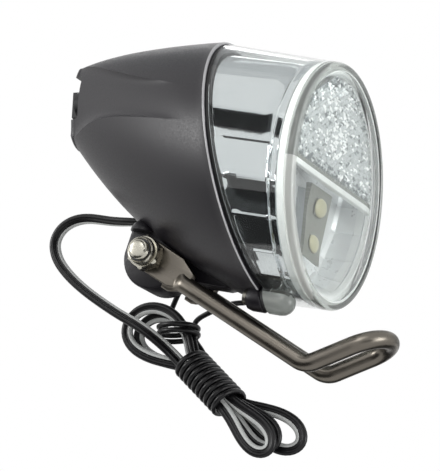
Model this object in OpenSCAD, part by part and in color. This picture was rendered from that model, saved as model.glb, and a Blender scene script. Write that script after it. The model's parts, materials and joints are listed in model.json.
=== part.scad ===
// Bicycle headlight on a bent wire bracket, with its twin lead tied up in a hank.
// +X is the way the lamp shines, +Z is up, and the origin is the eye of the bracket.

/* [Bracket] */
// Diameter of the bracket wire
wire_d = 4.6; // [4.2:0.1:5]
// Distance between the centres of the two wire legs
leg_pitch = 14.6; // [14.2:0.1:15.4]
// Length of a leg from the pivot to the bend
leg_length = 52.9; // [48:0.1:58]
// Slope of the legs below the lamp's axis, in degrees
leg_slope = 21.8; // [20:0.2:26]
// Distance of a leg's axis below the middle line of its tab
leg_drop = 1.3; // [0:0.1:1.6]
// Distance from the bend to the centre of the eye
eye_reach = 12.6; // [10:0.1:15]
// Slope of the eye above the lamp's axis, in degrees
eye_slope = 31; // [28:1:40]
// Radius of the bend, to the middle of the wire
bend_r = 5; // [4:0.5:8]
// Width of the flattened tab at the end of a leg
tab_w = 8.3; // [7.6:0.1:8.4]
// Thickness of the flattened tab
tab_t = 2.3; // [2:0.1:2.6]
// Distance from the pivot to the shoulder of the tab
tab_reach = 11.5; // [11:0.1:13]

/* [Pivot] */
// Diameter of the pivot bolt
bolt_d = 5; // [4:0.5:5.5]
// Width across the flats of the bolt head and the nut
hex_af = 8; // [7.5:0.5:9]
// Height of the bolt head
head_h = 3.5; // [2.5:0.1:4]
// Height of the nut's hexagon
nut_hex_h = 3.4; // [2.8:0.1:4.2]
// Height of the nut's round collar
nut_collar_h = 1.8; // [1.4:0.1:2.4]
// Length of bolt that stands out of the nut
bolt_tip = 1.8; // [1:0.1:3]
// Radius of the lug around the pivot bolt
lug_r = 8.3; // [7:0.1:8.6]
// Place of the pivot along the housing's belly, as a share from the rear to the seam
pivot_place = 0.486; // [0.46:0.001:0.54]
// Distance of the pivot below the housing's belly
pivot_gap = 4.3; // [4.2:0.1:5.5]

/* [Front cap] */
// Diameter of the lens
lens_d = 62; // [60:0.5:64]
// By how much the cap is wider at the seam than at the lens
cap_flare = 2.6; // [1.6:0.2:3.6]
// Angle by which the lens leans back, in degrees
lens_rake = 6.5; // [4:0.5:8]
// Thickness of the lens
lens_t = 2.2; // [1.8:0.1:2.8]
// Thickness of the cap's wall
cap_wall = 2; // [1.6:0.1:2.4]
// Distance of the seam's middle behind the lens
seam_x = 22; // [20:0.5:24]
// Angle by which the seam leans back, in degrees
seam_rake = 22; // [20:1:24]
// Radius of the screw boss under the cap
boss_r = 3.2; // [3:0.1:3.4]
// Sideways place of the screw boss
boss_y = -8; // [-10:0.5:-6]
// Length of the boss in front of the seam
boss_front = 7.5; // [6.5:0.5:8]
// Length of the boss behind the seam
boss_back = 4.8; // [4.6:0.2:7]

/* [Housing] */
// Thickness of the housing's wall
housing_wall = 2.2; // [1.8:0.1:2.6]
// Height of the housing's rim above the cap
rim_lip = 0.5; // [0.4:0.1:1]
// Distance of the rear end behind the lens
rear_x = 76.6; // [75:0.2:82]
// Height of the rear end's middle above the lamp's axis
rear_z = 10.9; // [10:0.1:12]
// Height of the rear end
rear_h = 22.4; // [21.4:0.2:24]
// Width of the rear end
rear_w = 16; // [15.5:0.5:20]
// Angle by which the rear end leans back, in degrees
rear_rake = 11; // [8:1:13]
// Rounding of the rear edge
rear_round = 1.2; // [1:0.1:1.6]
// Depth of the notch in the rear end, which holds the switch
notch_depth = 2.7; // [2:0.1:3]
// Height of that notch
notch_h = 12; // [11:0.2:12.6]
// Depth of the side channel at the rear, as a share of the half width
channel_depth = 0.4; // [0.2:0.02:0.4]
// Share of the housing's length that the channel takes up
channel_end = 0.62; // [0.5:0.02:0.8]

/* [Reflector and light] */
// Distance of the reflector's front edge behind the lens
reflector_set = 6.5; // [6:0.5:8]
// Thickness of the reflector's walls
reflector_wall = 1.2; // [1:0.1:1.5]
// Depth of the bowl in the reflector's lower half
bowl_depth = 13; // [12:0.5:14]
// Number of flutes on the reflector's lower half
flute_count = 13; // [9:1:17]
// Depth of a flute
flute_depth = 0.8; // [0.4:0.1:1]
// Height of the shelf between prism panel and light above the axis
shelf_z = 1.6; // [0:0.2:3]
// Thickness of the prism panel
prism_t = 1.6; // [1.2:0.1:2]
// Spacing of the prisms on the panel's face
prism_pitch = 3; // [2.6:0.2:4]
// Depth of the grooves between the prisms
prism_depth = 0.6; // [0.3:0.1:0.8]
// Width of the light's circuit board
led_board_w = 14; // [12:0.5:16]
// Height of the light's circuit board
led_board_h = 19; // [17:0.5:20]
// Thickness of a circuit board
board_t = 1.6; // [1:0.2:2]
// Distance between the two light emitters
led_pitch = 9.4; // [8:0.2:10]
// Side of an emitter
led_side = 3.4; // [3:0.1:4]
// Width of the driver board
driver_w = 32; // [30:1:36]
// Height of the driver board
driver_h = 22; // [20:1:24]
// Length of the posts that carry the driver board
post_length = 8; // [7:0.5:10]

/* [Switch] */
// Diameter of the switch knob
knob_d = 7.4; // [6.8:0.2:7.8]
// Height of the knob with its grip
knob_h = 3.2; // [2.4:0.1:4]
// Width of the knob's grip
grip_w = 2.8; // [2.2:0.1:3.4]
// Diameter of the knob's shaft
shaft_d = 3.6; // [3:0.1:4]
// Diameter of the switch body
switch_d = 6; // [5.6:0.1:6.2]
// Length of the switch body
switch_length = 9; // [7:0.5:12]

/* [Lead and ties] */
// Diameter of the round section of the lead
lead_d = 2; // [1.8:0.1:2.1]
// Diameter of the tie wire
tie_d = 1.2; // [1:0.05:1.25]
// Length of a loop above or below the hank's waist, against the drawn one
hank_stretch = 1; // [0.95:0.01:1.05]
// Turns of the tie wire round the hank
tie_turns = 10; // [8:1:10]
// Diameter of the cable gland
gland_d = 5; // [4.4:0.2:6]

/* [Hidden] */
$fn = 48;

// Clearances
running_gap = 0.05;
bolt_gap = 0.1;
thread_gap = 0.02;
seat_gap = 0.15;
tab_gap = 0.15;
sleeve_gap = 0.5;
flange_gap = 0.45;
knob_gap = 0.25;
saddle_gap = 0.1;
gland_gap = 0.3;
wind_gap = 0.5;
layer_gap = 0.6;

// Small fixed pieces: screws, seal, collar and inserts
seal_t = 0.8;
seal_inset = 0.3;
seam_trim = 0.08;
screw_d = 2;
screw_head_d = 3.8;
screw_head_h = 1.4;
insert_wall = 0.7;
bezel_rim = 0.7;
bezel_t = 0.8;
flange_t = 1.2;

// Places that follow from the bracket
big = 200;
cap_rear_d = lens_d + cap_flare;
bend = eye_reach * [-cos(eye_slope), 0, -sin(eye_slope)];
bend_half = (180 - leg_slope - eye_slope) / 2;
bend_mid = (180 - leg_slope + eye_slope) / 2;
bend_middle = bend + bend_r / sin(bend_half) * [cos(bend_mid), 0, sin(bend_mid)];
leg_way = [-cos(leg_slope), 0, sin(leg_slope)];
leg_up = [sin(leg_slope), 0, cos(leg_slope)];
pivot = bend + leg_length * leg_way + leg_drop * leg_up;
eye_up = [-sin(eye_slope), 0, cos(eye_slope)];
bend_steps = 6;
eye_steps = 16;
tab_face = leg_pitch / 2 + tab_t / 2;
lug_w = leg_pitch - tab_t - 2 * tab_gap;
nut_h = nut_hex_h + nut_collar_h;
collar_d = hex_af - 0.6;

// Places that follow from the front cap, in the lamp's own frame
cap_length = seam_x + tan(seam_rake) * cap_rear_d / 2;
cap_taper = (cap_rear_d - lens_d) / 2 / cap_length;
lens_lean = tan(lens_rake) * lens_d / 2 + 1;
rim_r = cap_rear_d / 2 + rim_lip;
boss_radial = cap_rear_d / 2 + 1.2;
boss_z = -sqrt(boss_radial * boss_radial - boss_y * boss_y);
boss_seam = -seam_x - tan(seam_rake) * boss_z;
housing_front = -seam_x - seal_t / cos(seam_rake);

// Outline of the housing: crown and belly are curves through three points each
rear_lean = tan(rear_rake) * rear_h / 2;
rim_lean = tan(seam_rake) * rim_r;
crown_rear = [-rear_x - rear_lean, rear_z + rear_h / 2];
crown_pull = [-66, rim_r - 4.4];
crown_front = [housing_front - rim_lean, rim_r];
belly_rear = [-rear_x + rear_lean, rear_z - rear_h / 2];
belly_pull = [-44, -rim_r + 5.4];
belly_front = [housing_front + rim_lean, -rim_r];
belly_pivot = curve(belly_rear, belly_pull, belly_front, pivot_place);
pivot_back = -belly_pivot[0];
pivot_drop = pivot_gap - belly_pivot[1];
pivot_at = [-pivot_back, 0, -pivot_drop];
lamp_at = pivot - pivot_at;
channel_top = [22, 60];
channel_low = [141, 82];
crown_steps = 5;
channel_steps = 6;
belly_steps = 7;
housing_steps = 13;

// Reflector, circuit boards and switch
sleeve_r = cap_r(-reflector_set) - cap_wall - sleeve_gap;
flange_r = rim_r - housing_wall - flange_gap;
prism_rows = floor(lens_d / 2 / prism_pitch);
led_face = -reflector_set + 0.5;
led_z = shelf_z - reflector_wall - led_board_h / 2 - 1.8;
sink_w = led_board_w - 2;
sink_h = led_board_h - 3;
post_y = driver_w / 2 - 4;
post_r = 2.5;
driver_x = -bowl_depth - reflector_wall - post_length;
rear_face = rear_round * cos(rear_rake);
notch_floor = rear_face - notch_depth;
notch_up = 0.8;
switch_up = 1.3;
rear_wall = notch_depth + housing_wall;
capacitor_d = 8;
capacitor_length = 12;
rectifier_size = [2.4, 4, 6];
terminal_size = [6, 0.8, 4.8];
board_screw_grip = 4;
shaft_depth = housing_wall + 5;

// Screws of the pivot block: places, seats on pads inside the housing, and tips
block_screw_back = 5;
block_screw_y = 3.4;
pad_top = -pivot_drop + 12.2;
screw_tip = -pivot_drop + 0.8;

// Rail and saddle of the pivot block, measured from the pivot
rail_length = 22;
rail_drop = 4.5;
rail_w = lug_w - 4;
saddle_r = 4.6;
saddle_w = lug_w + 12;
saddle_rise = 5.8;
saddle_back = 1.4;
block_rise = 14;

// Cable gland: where it crosses the housing's wall, and which way it points
gland_wall = skin(0.395, 141.9);
gland_dip = 6;
gland_out = 7;
gland_in = 5;
gland_way = [-cos(gland_dip), 0, -sin(gland_dip)];
gland_end = gland_wall + gland_out * gland_way;

// Hank: middle, slope, waist and layers
hank_mid = pivot_at + [11.3, 17.2, -26.1];
hank_slope = 33;
hank_along = [cos(hank_slope), 0, -sin(hank_slope)];
hank_across = [sin(hank_slope), 0, cos(hank_slope)];
hank_layer = lead_d + layer_gap;
hank_waist = hank_layer / 2;
hank_rings = 24;
waist_half = 8;
waist_stops = [-1, -0.34, 0.34, 1];

// Outlines of the loops beyond the waist: along the hank, then across it
lower_loop = [[5, -1.8], [11, -3.4], [16, -3], [18.4, 0], [16, 3], [11, 3.6], [5, 2.2]];
upper_loop = [
  [3.5, 3.4], [8, 5.4], [13, 5.5], [18, 3.2], [20.6, -1.2], [19.6, -6], [15.2, -8], [9.4, -6.6], [4, -3.6]];
lower_fan = [-1.5, 5, 16];
lower_size = [0.98, 0.94, 1.2];
upper_size = [1.03, 0.9];

// Winding of the tie wire round the waist
wind_pitch = tie_d + wind_gap - 0.05;
wind_half = tie_turns * wind_pitch / 2;
wind_mid = hank_mid + [0, 1.28 * hank_layer, 0];
wind_y = 1.28 * hank_layer + lead_d / 2 + 1 + tie_d / 2;
wind_v = hank_waist + lead_d / 2 + 1.25 + tie_d / 2;
wind_start = 90;

// Hitch of the hanging wire: two turns round the right leg of the upper loops
hitch_mid = hank_mid - 15 * hank_along + 5.1 * hank_across + [0, 3, 0];
hitch_slope = 15;
hitch_along = [-sin(hitch_slope), 0, cos(hitch_slope)];
hitch_across = [cos(hitch_slope), 0, sin(hitch_slope)];
hitch_turns = 2;
hitch_y = 4.8;
hitch_v = 5.2;
hitch_shift = -2.4;

// Routes of the free stretches, chosen by hand and measured from the pivot
lead_route = [
  [-23.5, 12.2, 10.7], [-29.5, 12.5, 10.8], [-33.9, 12.5, 9.8], [-37.4, 12.5, 7.3], [-38.8, 12.5, 3.7],
  [-38.1, 12.5, 0.7], [-36, 12.5, -2.4], [-31.7, 12.5, -5.7], [-26.7, 12.6, -8.5], [-21.1, 13, -11],
  [-15.2, 13.2, -13.3], [-10.2, 13.4, -14.9], [-5.4, 14, -16.9]];
tie_out = skin(0.834, 155.9);
tie_hole = tie_out + [0, 0, 2.5];
tie_route = [
  [21.2, 12.3, -4.4], [18.5, 13.3, -5], [14.3, 15, -5.5], [6.7, 20, -7.9],
  [1.4, 24, -9.9], [0.3, 26.3, -12.4], [1.2, 27, -15], [3.7, 27, -17]];
hang_out = skin(0.561, 139.1);
hang_hole = hang_out + [0, 0, 2.5];
hang_route = [
  [1.2, 16.6, 5], [-2.6, 21, 0.4], [-5.8, 24.6, -4.4], [-7.3, 26, -8.5], [-7.2, 25, -12], [-6.5, 22.8, -13.7]];

// Helpers: sizes and curves
function cap_r(x) = lens_d / 2 - x * cap_taper;
function mix(a, b, t) = a + (b - a) * t;
function curve(a, b, c, t) = (1 - t) * (1 - t) * a + 2 * t * (1 - t) * b + t * t * c;
function unit(v) = v / norm(v);
function sum(list, i = 0) = i < len(list) ? list[i] + sum(list, i + 1) : 0;
function path_length(path) = sum([for (i = [1:len(path) - 1]) norm(path[i] - path[i - 1])]);

// A smooth curve through points, with some steps to each stretch
function spline_at(a, b, c, d, t) =
  0.5 * (2 * b + (c - a) * t + (2 * a - 5 * b + 4 * c - d) * t * t + (3 * b - a - 3 * c + d) * t * t * t);
function spline(points, steps) = let(n = len(points)) concat(
  [for (i = [0:n - 2], k = [0:steps - 1])
    spline_at(points[max(i - 1, 0)], points[i], points[i + 1], points[min(i + 2, n - 1)], k / steps)],
  [points[n - 1]]);

// Least gap of a tube to itself, on points that are more than some steps apart
function self_gap(path, d, apart) = min(
  [for (i = [0:len(path) - 1], j = [i + apart:1:len(path) - 1]) norm(path[i] - path[j])]) - d;

// Faces between rings of points, with the first and last ring closed
function ring_faces(rings, sides) = concat(
  [for (i = [0:rings - 2], j = [0:sides - 1]) let(k = (j + 1) % sides)
    [i * sides + j, (i + 1) * sides + k, i * sides + k]],
  [for (i = [0:rings - 2], j = [0:sides - 1]) let(k = (j + 1) % sides)
    [i * sides + j, (i + 1) * sides + j, (i + 1) * sides + k]],
  [for (j = [1:sides - 2]) [0, j, j + 1]],
  [for (j = [1:sides - 2]) (rings - 1) * sides * [1, 1, 1] + [0, j + 1, j]]);

module loft(rings) {
  sides = len(rings[0]);
  polyhedron([for (ring = rings, p = ring) p], ring_faces(len(rings), sides));
}

// A tube along a path, with its rings set square to the path
function tube_ring(p, way, side, d, sides) = let(u = unit(cross(way, side)), v = cross(way, u))
  [for (j = [0:sides - 1]) let(a = 360 * j / sides) p + d / 2 * (cos(a) * u + sin(a) * v)];
module tube(path, d, sides, side) {
  n = len(path);
  loft([for (i = [0:n - 1])
    tube_ring(path[i], unit(path[min(i + 1, n - 1)] - path[max(i - 1, 0)]), side, d, sides)]);
}

module at_lamp() {
  translate(lamp_at) children();
}

// All space behind a plane that leans back
module behind(x, rake) {
  translate([x, 0, 0])
    rotate([0, -rake, 0])
      translate([-big, -big / 2, -big / 2])
        cube(big);
}

// All space ahead of such a plane
module ahead(x, rake) {
  translate([x, 0, 0])
    rotate([0, -rake, 0])
      translate([0, -big / 2, -big / 2])
        cube(big);
}

module rod_x(length, d) {
  rotate([0, 90, 0]) cylinder(h = length, d = d);
}

// Local +Z points from the near side of the lamp towards the viewer's side of the pivot
module at_pivot() {
  translate(pivot) rotate([90, 0, 0]) children();
}

// Local +Z points straight out of the housing's rear end
module at_rear() {
  translate([-rear_x, 0, rear_z]) rotate([0, -90 - rear_rake, 0]) children();
}

module at_switch() {
  at_rear() translate([switch_up, 0, 0]) children();
}

// Bracket: a wire bent double, with both ends flattened to tabs
module tab_outline() {
  difference() {
    union() {
      circle(d = tab_w);
      translate([0, -tab_w / 2]) square([tab_reach, tab_w]);
    }
    circle(d = bolt_d + 2 * bolt_gap);
  }
}

// Points of the wire with its diameter at each: one leg, from its tab to the eye
function leg_points(side) = [for (stop = concat(
    [[bend + (leg_length - tab_reach + 3.3) * leg_way, tab_t - 0.5]],
    [[bend + (leg_length - tab_reach - 0.7) * leg_way, wire_d]],
    [for (i = [0:bend_steps]) let(a = -90 - leg_slope + (leg_slope + eye_slope) * i / bend_steps)
      [bend_middle + bend_r * [cos(a), 0, sin(a)], wire_d]]))
  [stop[0] + [0, side * leg_pitch / 2, 0], stop[1]]];
function eye_points() = [for (i = [0:eye_steps]) let(a = -90 + 180 * i / eye_steps)
  [leg_pitch / 2 * [cos(a) * cos(eye_slope), sin(a), cos(a) * sin(eye_slope)], wire_d]];

module bracket_wire() {
  far = leg_points(1);
  stops = concat(leg_points(-1), eye_points(), [for (i = [len(far) - 1:-1:0]) far[i]]);
  n = len(stops);
  color("#7d7b72") {
    loft([for (i = [0:n - 1])
      tube_ring(stops[i][0], unit(stops[min(i + 1, n - 1)][0] - stops[max(i - 1, 0)][0]), eye_up, stops[i][1], 16)]);
    for (side = [-1, 1]) translate(pivot + [0, side * leg_pitch / 2, 0])
      rotate([90, leg_slope, 0]) linear_extrude(tab_t, center = true) tab_outline();
  }
}

module hexagon(h) {
  cylinder(h = h, d = hex_af / cos(30), $fn = 6);
}

module pivot_bolt() {
  shank = 2 * tab_face + nut_h;
  color("#a9a79c") at_pivot() translate([0, 0, -tab_face]) {
    translate([0, 0, -head_h]) hexagon(head_h);
    cylinder(h = shank, d = bolt_d);
    translate([0, 0, shank]) cylinder(h = bolt_tip, d1 = bolt_d, d2 = bolt_d - 1.4);
  }
}

module pivot_nut() {
  color("#b9b7ad") at_pivot() translate([0, 0, tab_face]) difference() {
    union() {
      hexagon(nut_hex_h);
      translate([0, 0, nut_hex_h]) cylinder(h = nut_collar_h, d = collar_d);
    }
    translate([0, 0, -1]) cylinder(h = nut_h + 2, d = bolt_d + 2 * thread_gap);
    translate([0, 0, nut_hex_h]) cylinder(h = nut_collar_h + 1, d = bolt_d + 2 * insert_wall);
  }
}

module nut_insert() {
  color("#26262a") at_pivot() translate([0, 0, tab_face + nut_hex_h]) difference() {
    cylinder(h = nut_collar_h - 0.3, d = bolt_d + 2 * insert_wall);
    translate([0, 0, -1]) cylinder(h = nut_collar_h + 2, d = bolt_d + 2 * thread_gap);
  }
}

// Housing: rings lofted from the rear end to the raked seam, with a channel along each side
function channel_span(u, pair) = mix(pair[0], pair[1], min(u / channel_end, 1));
function ring_angles(u) = let(top = channel_span(u, channel_top), low = channel_span(u, channel_low)) concat(
  [for (i = [0:crown_steps - 1]) top * i / crown_steps],
  [for (i = [0:channel_steps - 1]) mix(top, low, i / channel_steps)],
  [for (i = [0:belly_steps]) mix(low, 180, i / belly_steps)]);
function channel_cut(u, a) = let(
    top = channel_span(u, channel_top),
    low = channel_span(u, channel_low),
    t = (2 * a - top - low) / (low - top))
  abs(t) < 1 ? channel_depth * max(0, 1 - u / channel_end) * (1 - t * t) : 0;
function housing_ring(u, inset, shift) = let(
    crown = curve(crown_rear, crown_pull, crown_front, u),
    belly = curve(belly_rear, belly_pull, belly_front, u),
    middle = (crown + belly) / 2,
    half = (crown - belly) / 2,
    squeeze = 1 - inset / half[1],
    width = half[1] * mix(rear_w / rear_h, 1, u) - inset,
    angles = ring_angles(u),
    n = len(angles),
    right = [for (a = angles) let(f = 1 - channel_cut(u, a))
      [middle[0] + squeeze * half[0] * cos(a) + shift, -width * sin(a) * f, middle[1] + squeeze * half[1] * cos(a)]])
  concat(right, [for (i = [n - 2:-1:1]) [right[i][0], -right[i][1], right[i][2]]]);

// A point on the housing's side, away from the channel
function skin(u, a) = let(
    crown = curve(crown_rear, crown_pull, crown_front, u),
    belly = curve(belly_rear, belly_pull, belly_front, u),
    middle = (crown + belly) / 2,
    half = (crown - belly) / 2,
    width = half[1] * mix(rear_w / rear_h, 1, u))
  [middle[0] + half[0] * cos(a), width * sin(a), middle[1] + half[1] * cos(a)];

function outer_rings(grow) = concat(
  [for (a = [90, 60, 30]) housing_ring(0, rear_round * (1 - cos(a)) - grow, -rear_round * sin(a) - grow)],
  [for (i = [0:housing_steps]) housing_ring(i / housing_steps, -grow, 0)]);
function inner_rings(inset) = concat(
  [housing_ring(0, inset, notch_depth + inset - rear_round)],
  [for (i = [4:housing_steps]) housing_ring(i / housing_steps, inset, 0)]);

module housing_shell() {
  inner = inner_rings(housing_wall);
  loft(concat(outer_rings(0), [for (i = [len(inner) - 1:-1:0]) inner[i]]));
}

// The housing's inside, grown into the wall
module housing_inside(inset) {
  loft(concat(inner_rings(inset), [housing_ring(1, inset, 3)]));
}

module boss_rod(from, length, d) {
  translate([from, boss_y, boss_z]) rod_x(length, d);
}

module gland_rod(d) {
  translate(gland_wall) rotate([0, -90 - gland_dip, 0])
    translate([0, 0, -gland_in]) cylinder(h = gland_in + gland_out, d = d);
}

module block_screw_places() {
  for (side = [-1, 1]) translate([-pivot_back - block_screw_back, side * block_screw_y, 0]) children();
}

module housing() {
  color("#3a3a3d") at_lamp() difference() {
    union() {
      housing_shell();
      difference() {
        translate([boss_seam - boss_back - 0.9 * boss_r, boss_y, boss_z]) rotate([0, 90, 0]) rotate_extrude()
          polygon([
            [0, 0], [0.4 * boss_r, 0], [0.75 * boss_r, 0.3 * boss_r], [boss_r, 0.9 * boss_r],
            [boss_r, boss_back + 0.9 * boss_r + 3], [0, boss_back + 0.9 * boss_r + 3]]);
        housing_inside(0.5 * housing_wall);
      }
      intersection() {
        housing_inside(0.5 * housing_wall);
        block_screw_places() translate([0, 0, -big / 4]) cylinder(h = big / 4 + pad_top, d = screw_head_d + 1.6);
      }
    }
    ahead(housing_front - seam_trim, seam_rake);
    boss_rod(boss_seam - boss_back - boss_r - 1, boss_back + boss_r + 2, screw_d + 2 * bolt_gap);
    boss_rod(boss_seam - boss_back - boss_r - 1, boss_r + 1, screw_head_d + 2 * bolt_gap);
    block_screw_places() translate([0, 0, -big / 4]) cylinder(h = big / 4 + pad_top + 1, d = screw_d + 2 * bolt_gap);
    at_switch() translate([notch_up - notch_h / 2, -big / 2, notch_floor]) cube([notch_h, big, notch_depth + 2]);
    at_switch() translate([0, 0, notch_floor - rear_wall]) cylinder(h = rear_wall + 1, d = shaft_d + 0.6);
    gland_rod(gland_d + 2 * running_gap);
    for (hole = [tie_hole, hang_hole])
      translate(hole - [0, 0, 10]) cylinder(h = 14, d = tie_d + 0.5);
  }
}

// Pivot block: the black lug under the housing, with a rail that runs forward
module block_outline() {
  difference() {
    union() {
      circle(r = lug_r);
      polygon([
        [-lug_r, 0], [-lug_r + 0.8, block_rise], [lug_r + 2, block_rise], [lug_r + 2, 1],
        [lug_r * cos(8), -lug_r * sin(8)], [0, 0]]);
    }
    circle(d = bolt_d + 2 * running_gap);
  }
}

module saddle_outline() {
  intersection() {
    translate([-saddle_back, saddle_rise]) circle(r = saddle_r);
    translate([-big / 2, saddle_rise]) square(big);
  }
}

module rail_outline() {
  polygon([
    [0, -rail_drop], [rail_length - 1.5, -rail_drop], [rail_length, -rail_drop + 1.5], [rail_length, 2], [0, 4]]);
}

module pivot_block() {
  color("#1d1b20") difference() {
    union() {
      at_pivot() linear_extrude(lug_w, center = true) block_outline();
      at_pivot() linear_extrude(saddle_w, center = true) saddle_outline();
      at_pivot() linear_extrude(rail_w, center = true) difference() {
        rail_outline();
        circle(d = bolt_d + 2 * running_gap);
      }
    }
    at_lamp() loft(outer_rings(saddle_gap));
    at_lamp() gland_rod(gland_d + 2 * gland_gap);
    at_lamp() block_screw_places() translate([0, 0, screw_tip - 1])
      cylinder(h = 20, d = screw_d + 2 * thread_gap);
  }
}

module screw(length) {
  translate([0, 0, -length]) cylinder(h = length, d = screw_d);
  cylinder(h = screw_head_h, d = screw_head_d);
}

module block_screws() {
  color("#8f8d86") at_lamp() block_screw_places() translate([0, 0, pad_top]) screw(pad_top - screw_tip);
}

// Front cap: clear cone with a raked lens, cut off at the raked seam
module cap_cone(inset) {
  back = cap_length + 2;
  translate([-back, 0, 0]) rotate([0, 90, 0])
    cylinder(h = back + lens_lean, r1 = cap_r(-back) - inset, r2 = cap_r(lens_lean) - inset);
}

module front_cap() {
  color([0.86, 0.9, 0.92, 0.35]) at_lamp() difference() {
    union() {
      intersection() {
        cap_cone(0);
        behind(0, lens_rake);
      }
      translate([boss_seam - 3, boss_y, boss_z]) rotate([0, 90, 0]) rotate_extrude()
        polygon([
          [0, 0], [boss_r, 0], [boss_r, boss_front + 3 - 0.8 * boss_r], [0.75 * boss_r, boss_front + 3 - 0.3 * boss_r],
          [0.4 * boss_r, boss_front + 3], [0, boss_front + 3]]);
    }
    behind(-seam_x, seam_rake);
    intersection() {
      cap_cone(cap_wall);
      behind(-lens_t / cos(lens_rake), lens_rake);
    }
    boss_rod(boss_seam - 3, 3 + boss_front / 2, screw_d + 2 * thread_gap);
  }
}

module cap_seal() {
  color("#111113") at_lamp() difference() {
    intersection() {
      union() {
        cap_cone(seal_inset);
        boss_rod(boss_seam - 3, 6, 2 * boss_r - 2 * seal_inset);
      }
      behind(-seam_x, seam_rake);
    }
    behind(housing_front, seam_rake);
    cap_cone(cap_wall);
    boss_rod(boss_seam - 4, 8, screw_d + 2 * bolt_gap);
  }
}

module cap_screw() {
  head_at = boss_seam - boss_back;
  tip_at = boss_seam + boss_front / 2 - 0.4;
  color("#8f8d86") at_lamp() {
    boss_rod(head_at, tip_at - head_at, screw_d);
    boss_rod(head_at - screw_head_h, screw_head_h, screw_head_d);
  }
}

// Prism panel: clear insert behind the upper half of the lens, with grooves both ways across its face
module groove() {
  linear_extrude(big / 2, center = true)
    polygon([[0.2, -0.55 * prism_pitch], [-prism_depth, -0.12], [-prism_depth, 0.12], [0.2, 0.55 * prism_pitch]]);
}

module prism_panel() {
  front = lens_t + seat_gap;
  color([0.88, 0.9, 0.92, 0.6]) at_lamp() difference() {
    intersection() {
      difference() {
        intersection() {
          cap_cone(cap_wall + seat_gap);
          behind(-front / cos(lens_rake), lens_rake);
        }
        behind(-(front + prism_t) / cos(lens_rake), lens_rake);
      }
      translate([-big / 2, -big / 2, shelf_z]) cube(big);
    }
    translate([-front / cos(lens_rake), 0, 0]) rotate([0, -lens_rake, 0]) {
      for (y = [-prism_rows:prism_rows]) translate([0, y * prism_pitch, 0]) groove();
      for (z = [0:prism_rows]) translate([0, 0, shelf_z + (z + 0.6) * prism_pitch]) rotate([-90, 0, 0]) groove();
    }
  }
}

// Reflector: a sleeve that is smooth above and fluted below, with a shelf, a bowl and a flange
function sleeve_outline(r) = concat(
  [for (i = [0:24]) let(a = 180 * i / 24) r * [cos(a), sin(a)]],
  [for (i = [0.5:0.5:flute_count - 0.5]) let(a = 180 + 180 * i / flute_count)
    (r - (i == floor(i) ? 0 : flute_depth)) * [cos(a), sin(a)]]);

module sleeve(r, from, to) {
  translate([from, 0, 0]) rotate([90, 0, 90]) linear_extrude(to - from) polygon(sleeve_outline(r));
}

module slab_x(from, to) {
  translate([from, -big / 2, -big / 2]) cube([to - from, big, big]);
}

module reflector() {
  front = -reflector_set / cos(lens_rake);
  color("#d5d8da") at_lamp() difference() {
    union() {
      intersection() {
        union() {
          difference() {
            sleeve(sleeve_r, -cap_length - 4, 0);
            sleeve(sleeve_r - reflector_wall, -cap_length - 5, 1);
            intersection() {
              behind(housing_front, seam_rake);
              slab_x(-big, -bowl_depth - reflector_wall);
            }
          }
          sleeve(sleeve_r - reflector_wall / 2, -bowl_depth - reflector_wall, -bowl_depth);
          intersection() {
            sleeve(sleeve_r - reflector_wall / 2, -bowl_depth - 0.5, 0);
            translate([-big / 2, -big / 2, shelf_z - reflector_wall]) cube([big, big, reflector_wall]);
          }
        }
        behind(front, lens_rake);
      }
      intersection() {
        translate([-cap_length - 4, 0, 0]) difference() {
          rod_x(cap_length + 4, 2 * flange_r);
          translate([-1, 0, 0]) rod_x(cap_length + 6, 2 * (sleeve_r - flute_depth - reflector_wall / 2));
        }
        difference() {
          behind(housing_front, seam_rake);
          behind(housing_front - flange_t, seam_rake);
        }
      }
      for (side = [-1, 1]) translate([driver_x, side * post_y, 0]) rod_x(post_length + 0.5, 2 * post_r);
    }
    translate([-bowl_depth - reflector_wall - 1, -sink_w / 2 - seat_gap, led_z - sink_h / 2 - seat_gap])
      cube([reflector_wall + 2, sink_w + 2 * seat_gap, sink_h + 2 * seat_gap]);
    for (side = [-1, 1]) translate([driver_x - 1, side * post_y, 0]) rod_x(board_screw_grip + 2, screw_d + 2 * thread_gap);
  }
}

// Light: two emitters on a metal-backed board, on a heat sink that reaches through the bowl
module led_board() {
  color("#8d9092") at_lamp()
    translate([led_face - board_t, -led_board_w / 2, led_z - led_board_h / 2])
      cube([board_t, led_board_w, led_board_h]);
}

module led_emitters() {
  color("#e8dfae") at_lamp()
    for (side = [-1, 1]) translate([led_face, 0, led_z + side * led_pitch / 2]) {
      translate([0, -led_side / 2, -led_side / 2]) cube([0.7, led_side, led_side]);
      translate([0.7, 0, 0]) rotate([0, 90, 0]) cylinder(h = 0.5, d1 = led_side * 0.8, d2 = led_side * 0.6);
    }
}

module led_heat_sink() {
  back = -bowl_depth - reflector_wall;
  color("#a7abad") at_lamp() {
    translate([back, -sink_w / 2, led_z - sink_h / 2]) cube([led_face - board_t - back, sink_w, sink_h]);
    translate([back - 1.5, -sink_w / 2 - 2, led_z - sink_h / 2 - 2]) cube([1.5, sink_w + 4, sink_h + 4]);
  }
}

// Driver board on the reflector's posts, with its screws and the parts that it carries
module driver_board() {
  color("#2f5a3c") at_lamp() difference() {
    translate([driver_x - board_t, -driver_w / 2, -driver_h / 2]) cube([board_t, driver_w, driver_h]);
    for (side = [-1, 1]) translate([driver_x - board_t - 1, side * post_y, 0]) rod_x(board_t + 2, screw_d + 2 * bolt_gap);
  }
}

module board_screws() {
  color("#8f8d86") at_lamp()
    for (side = [-1, 1]) translate([driver_x - board_t, side * post_y, 0]) {
      rod_x(board_t + board_screw_grip, screw_d);
      translate([-screw_head_h, 0, 0]) rod_x(screw_head_h, screw_head_d);
    }
}

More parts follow.
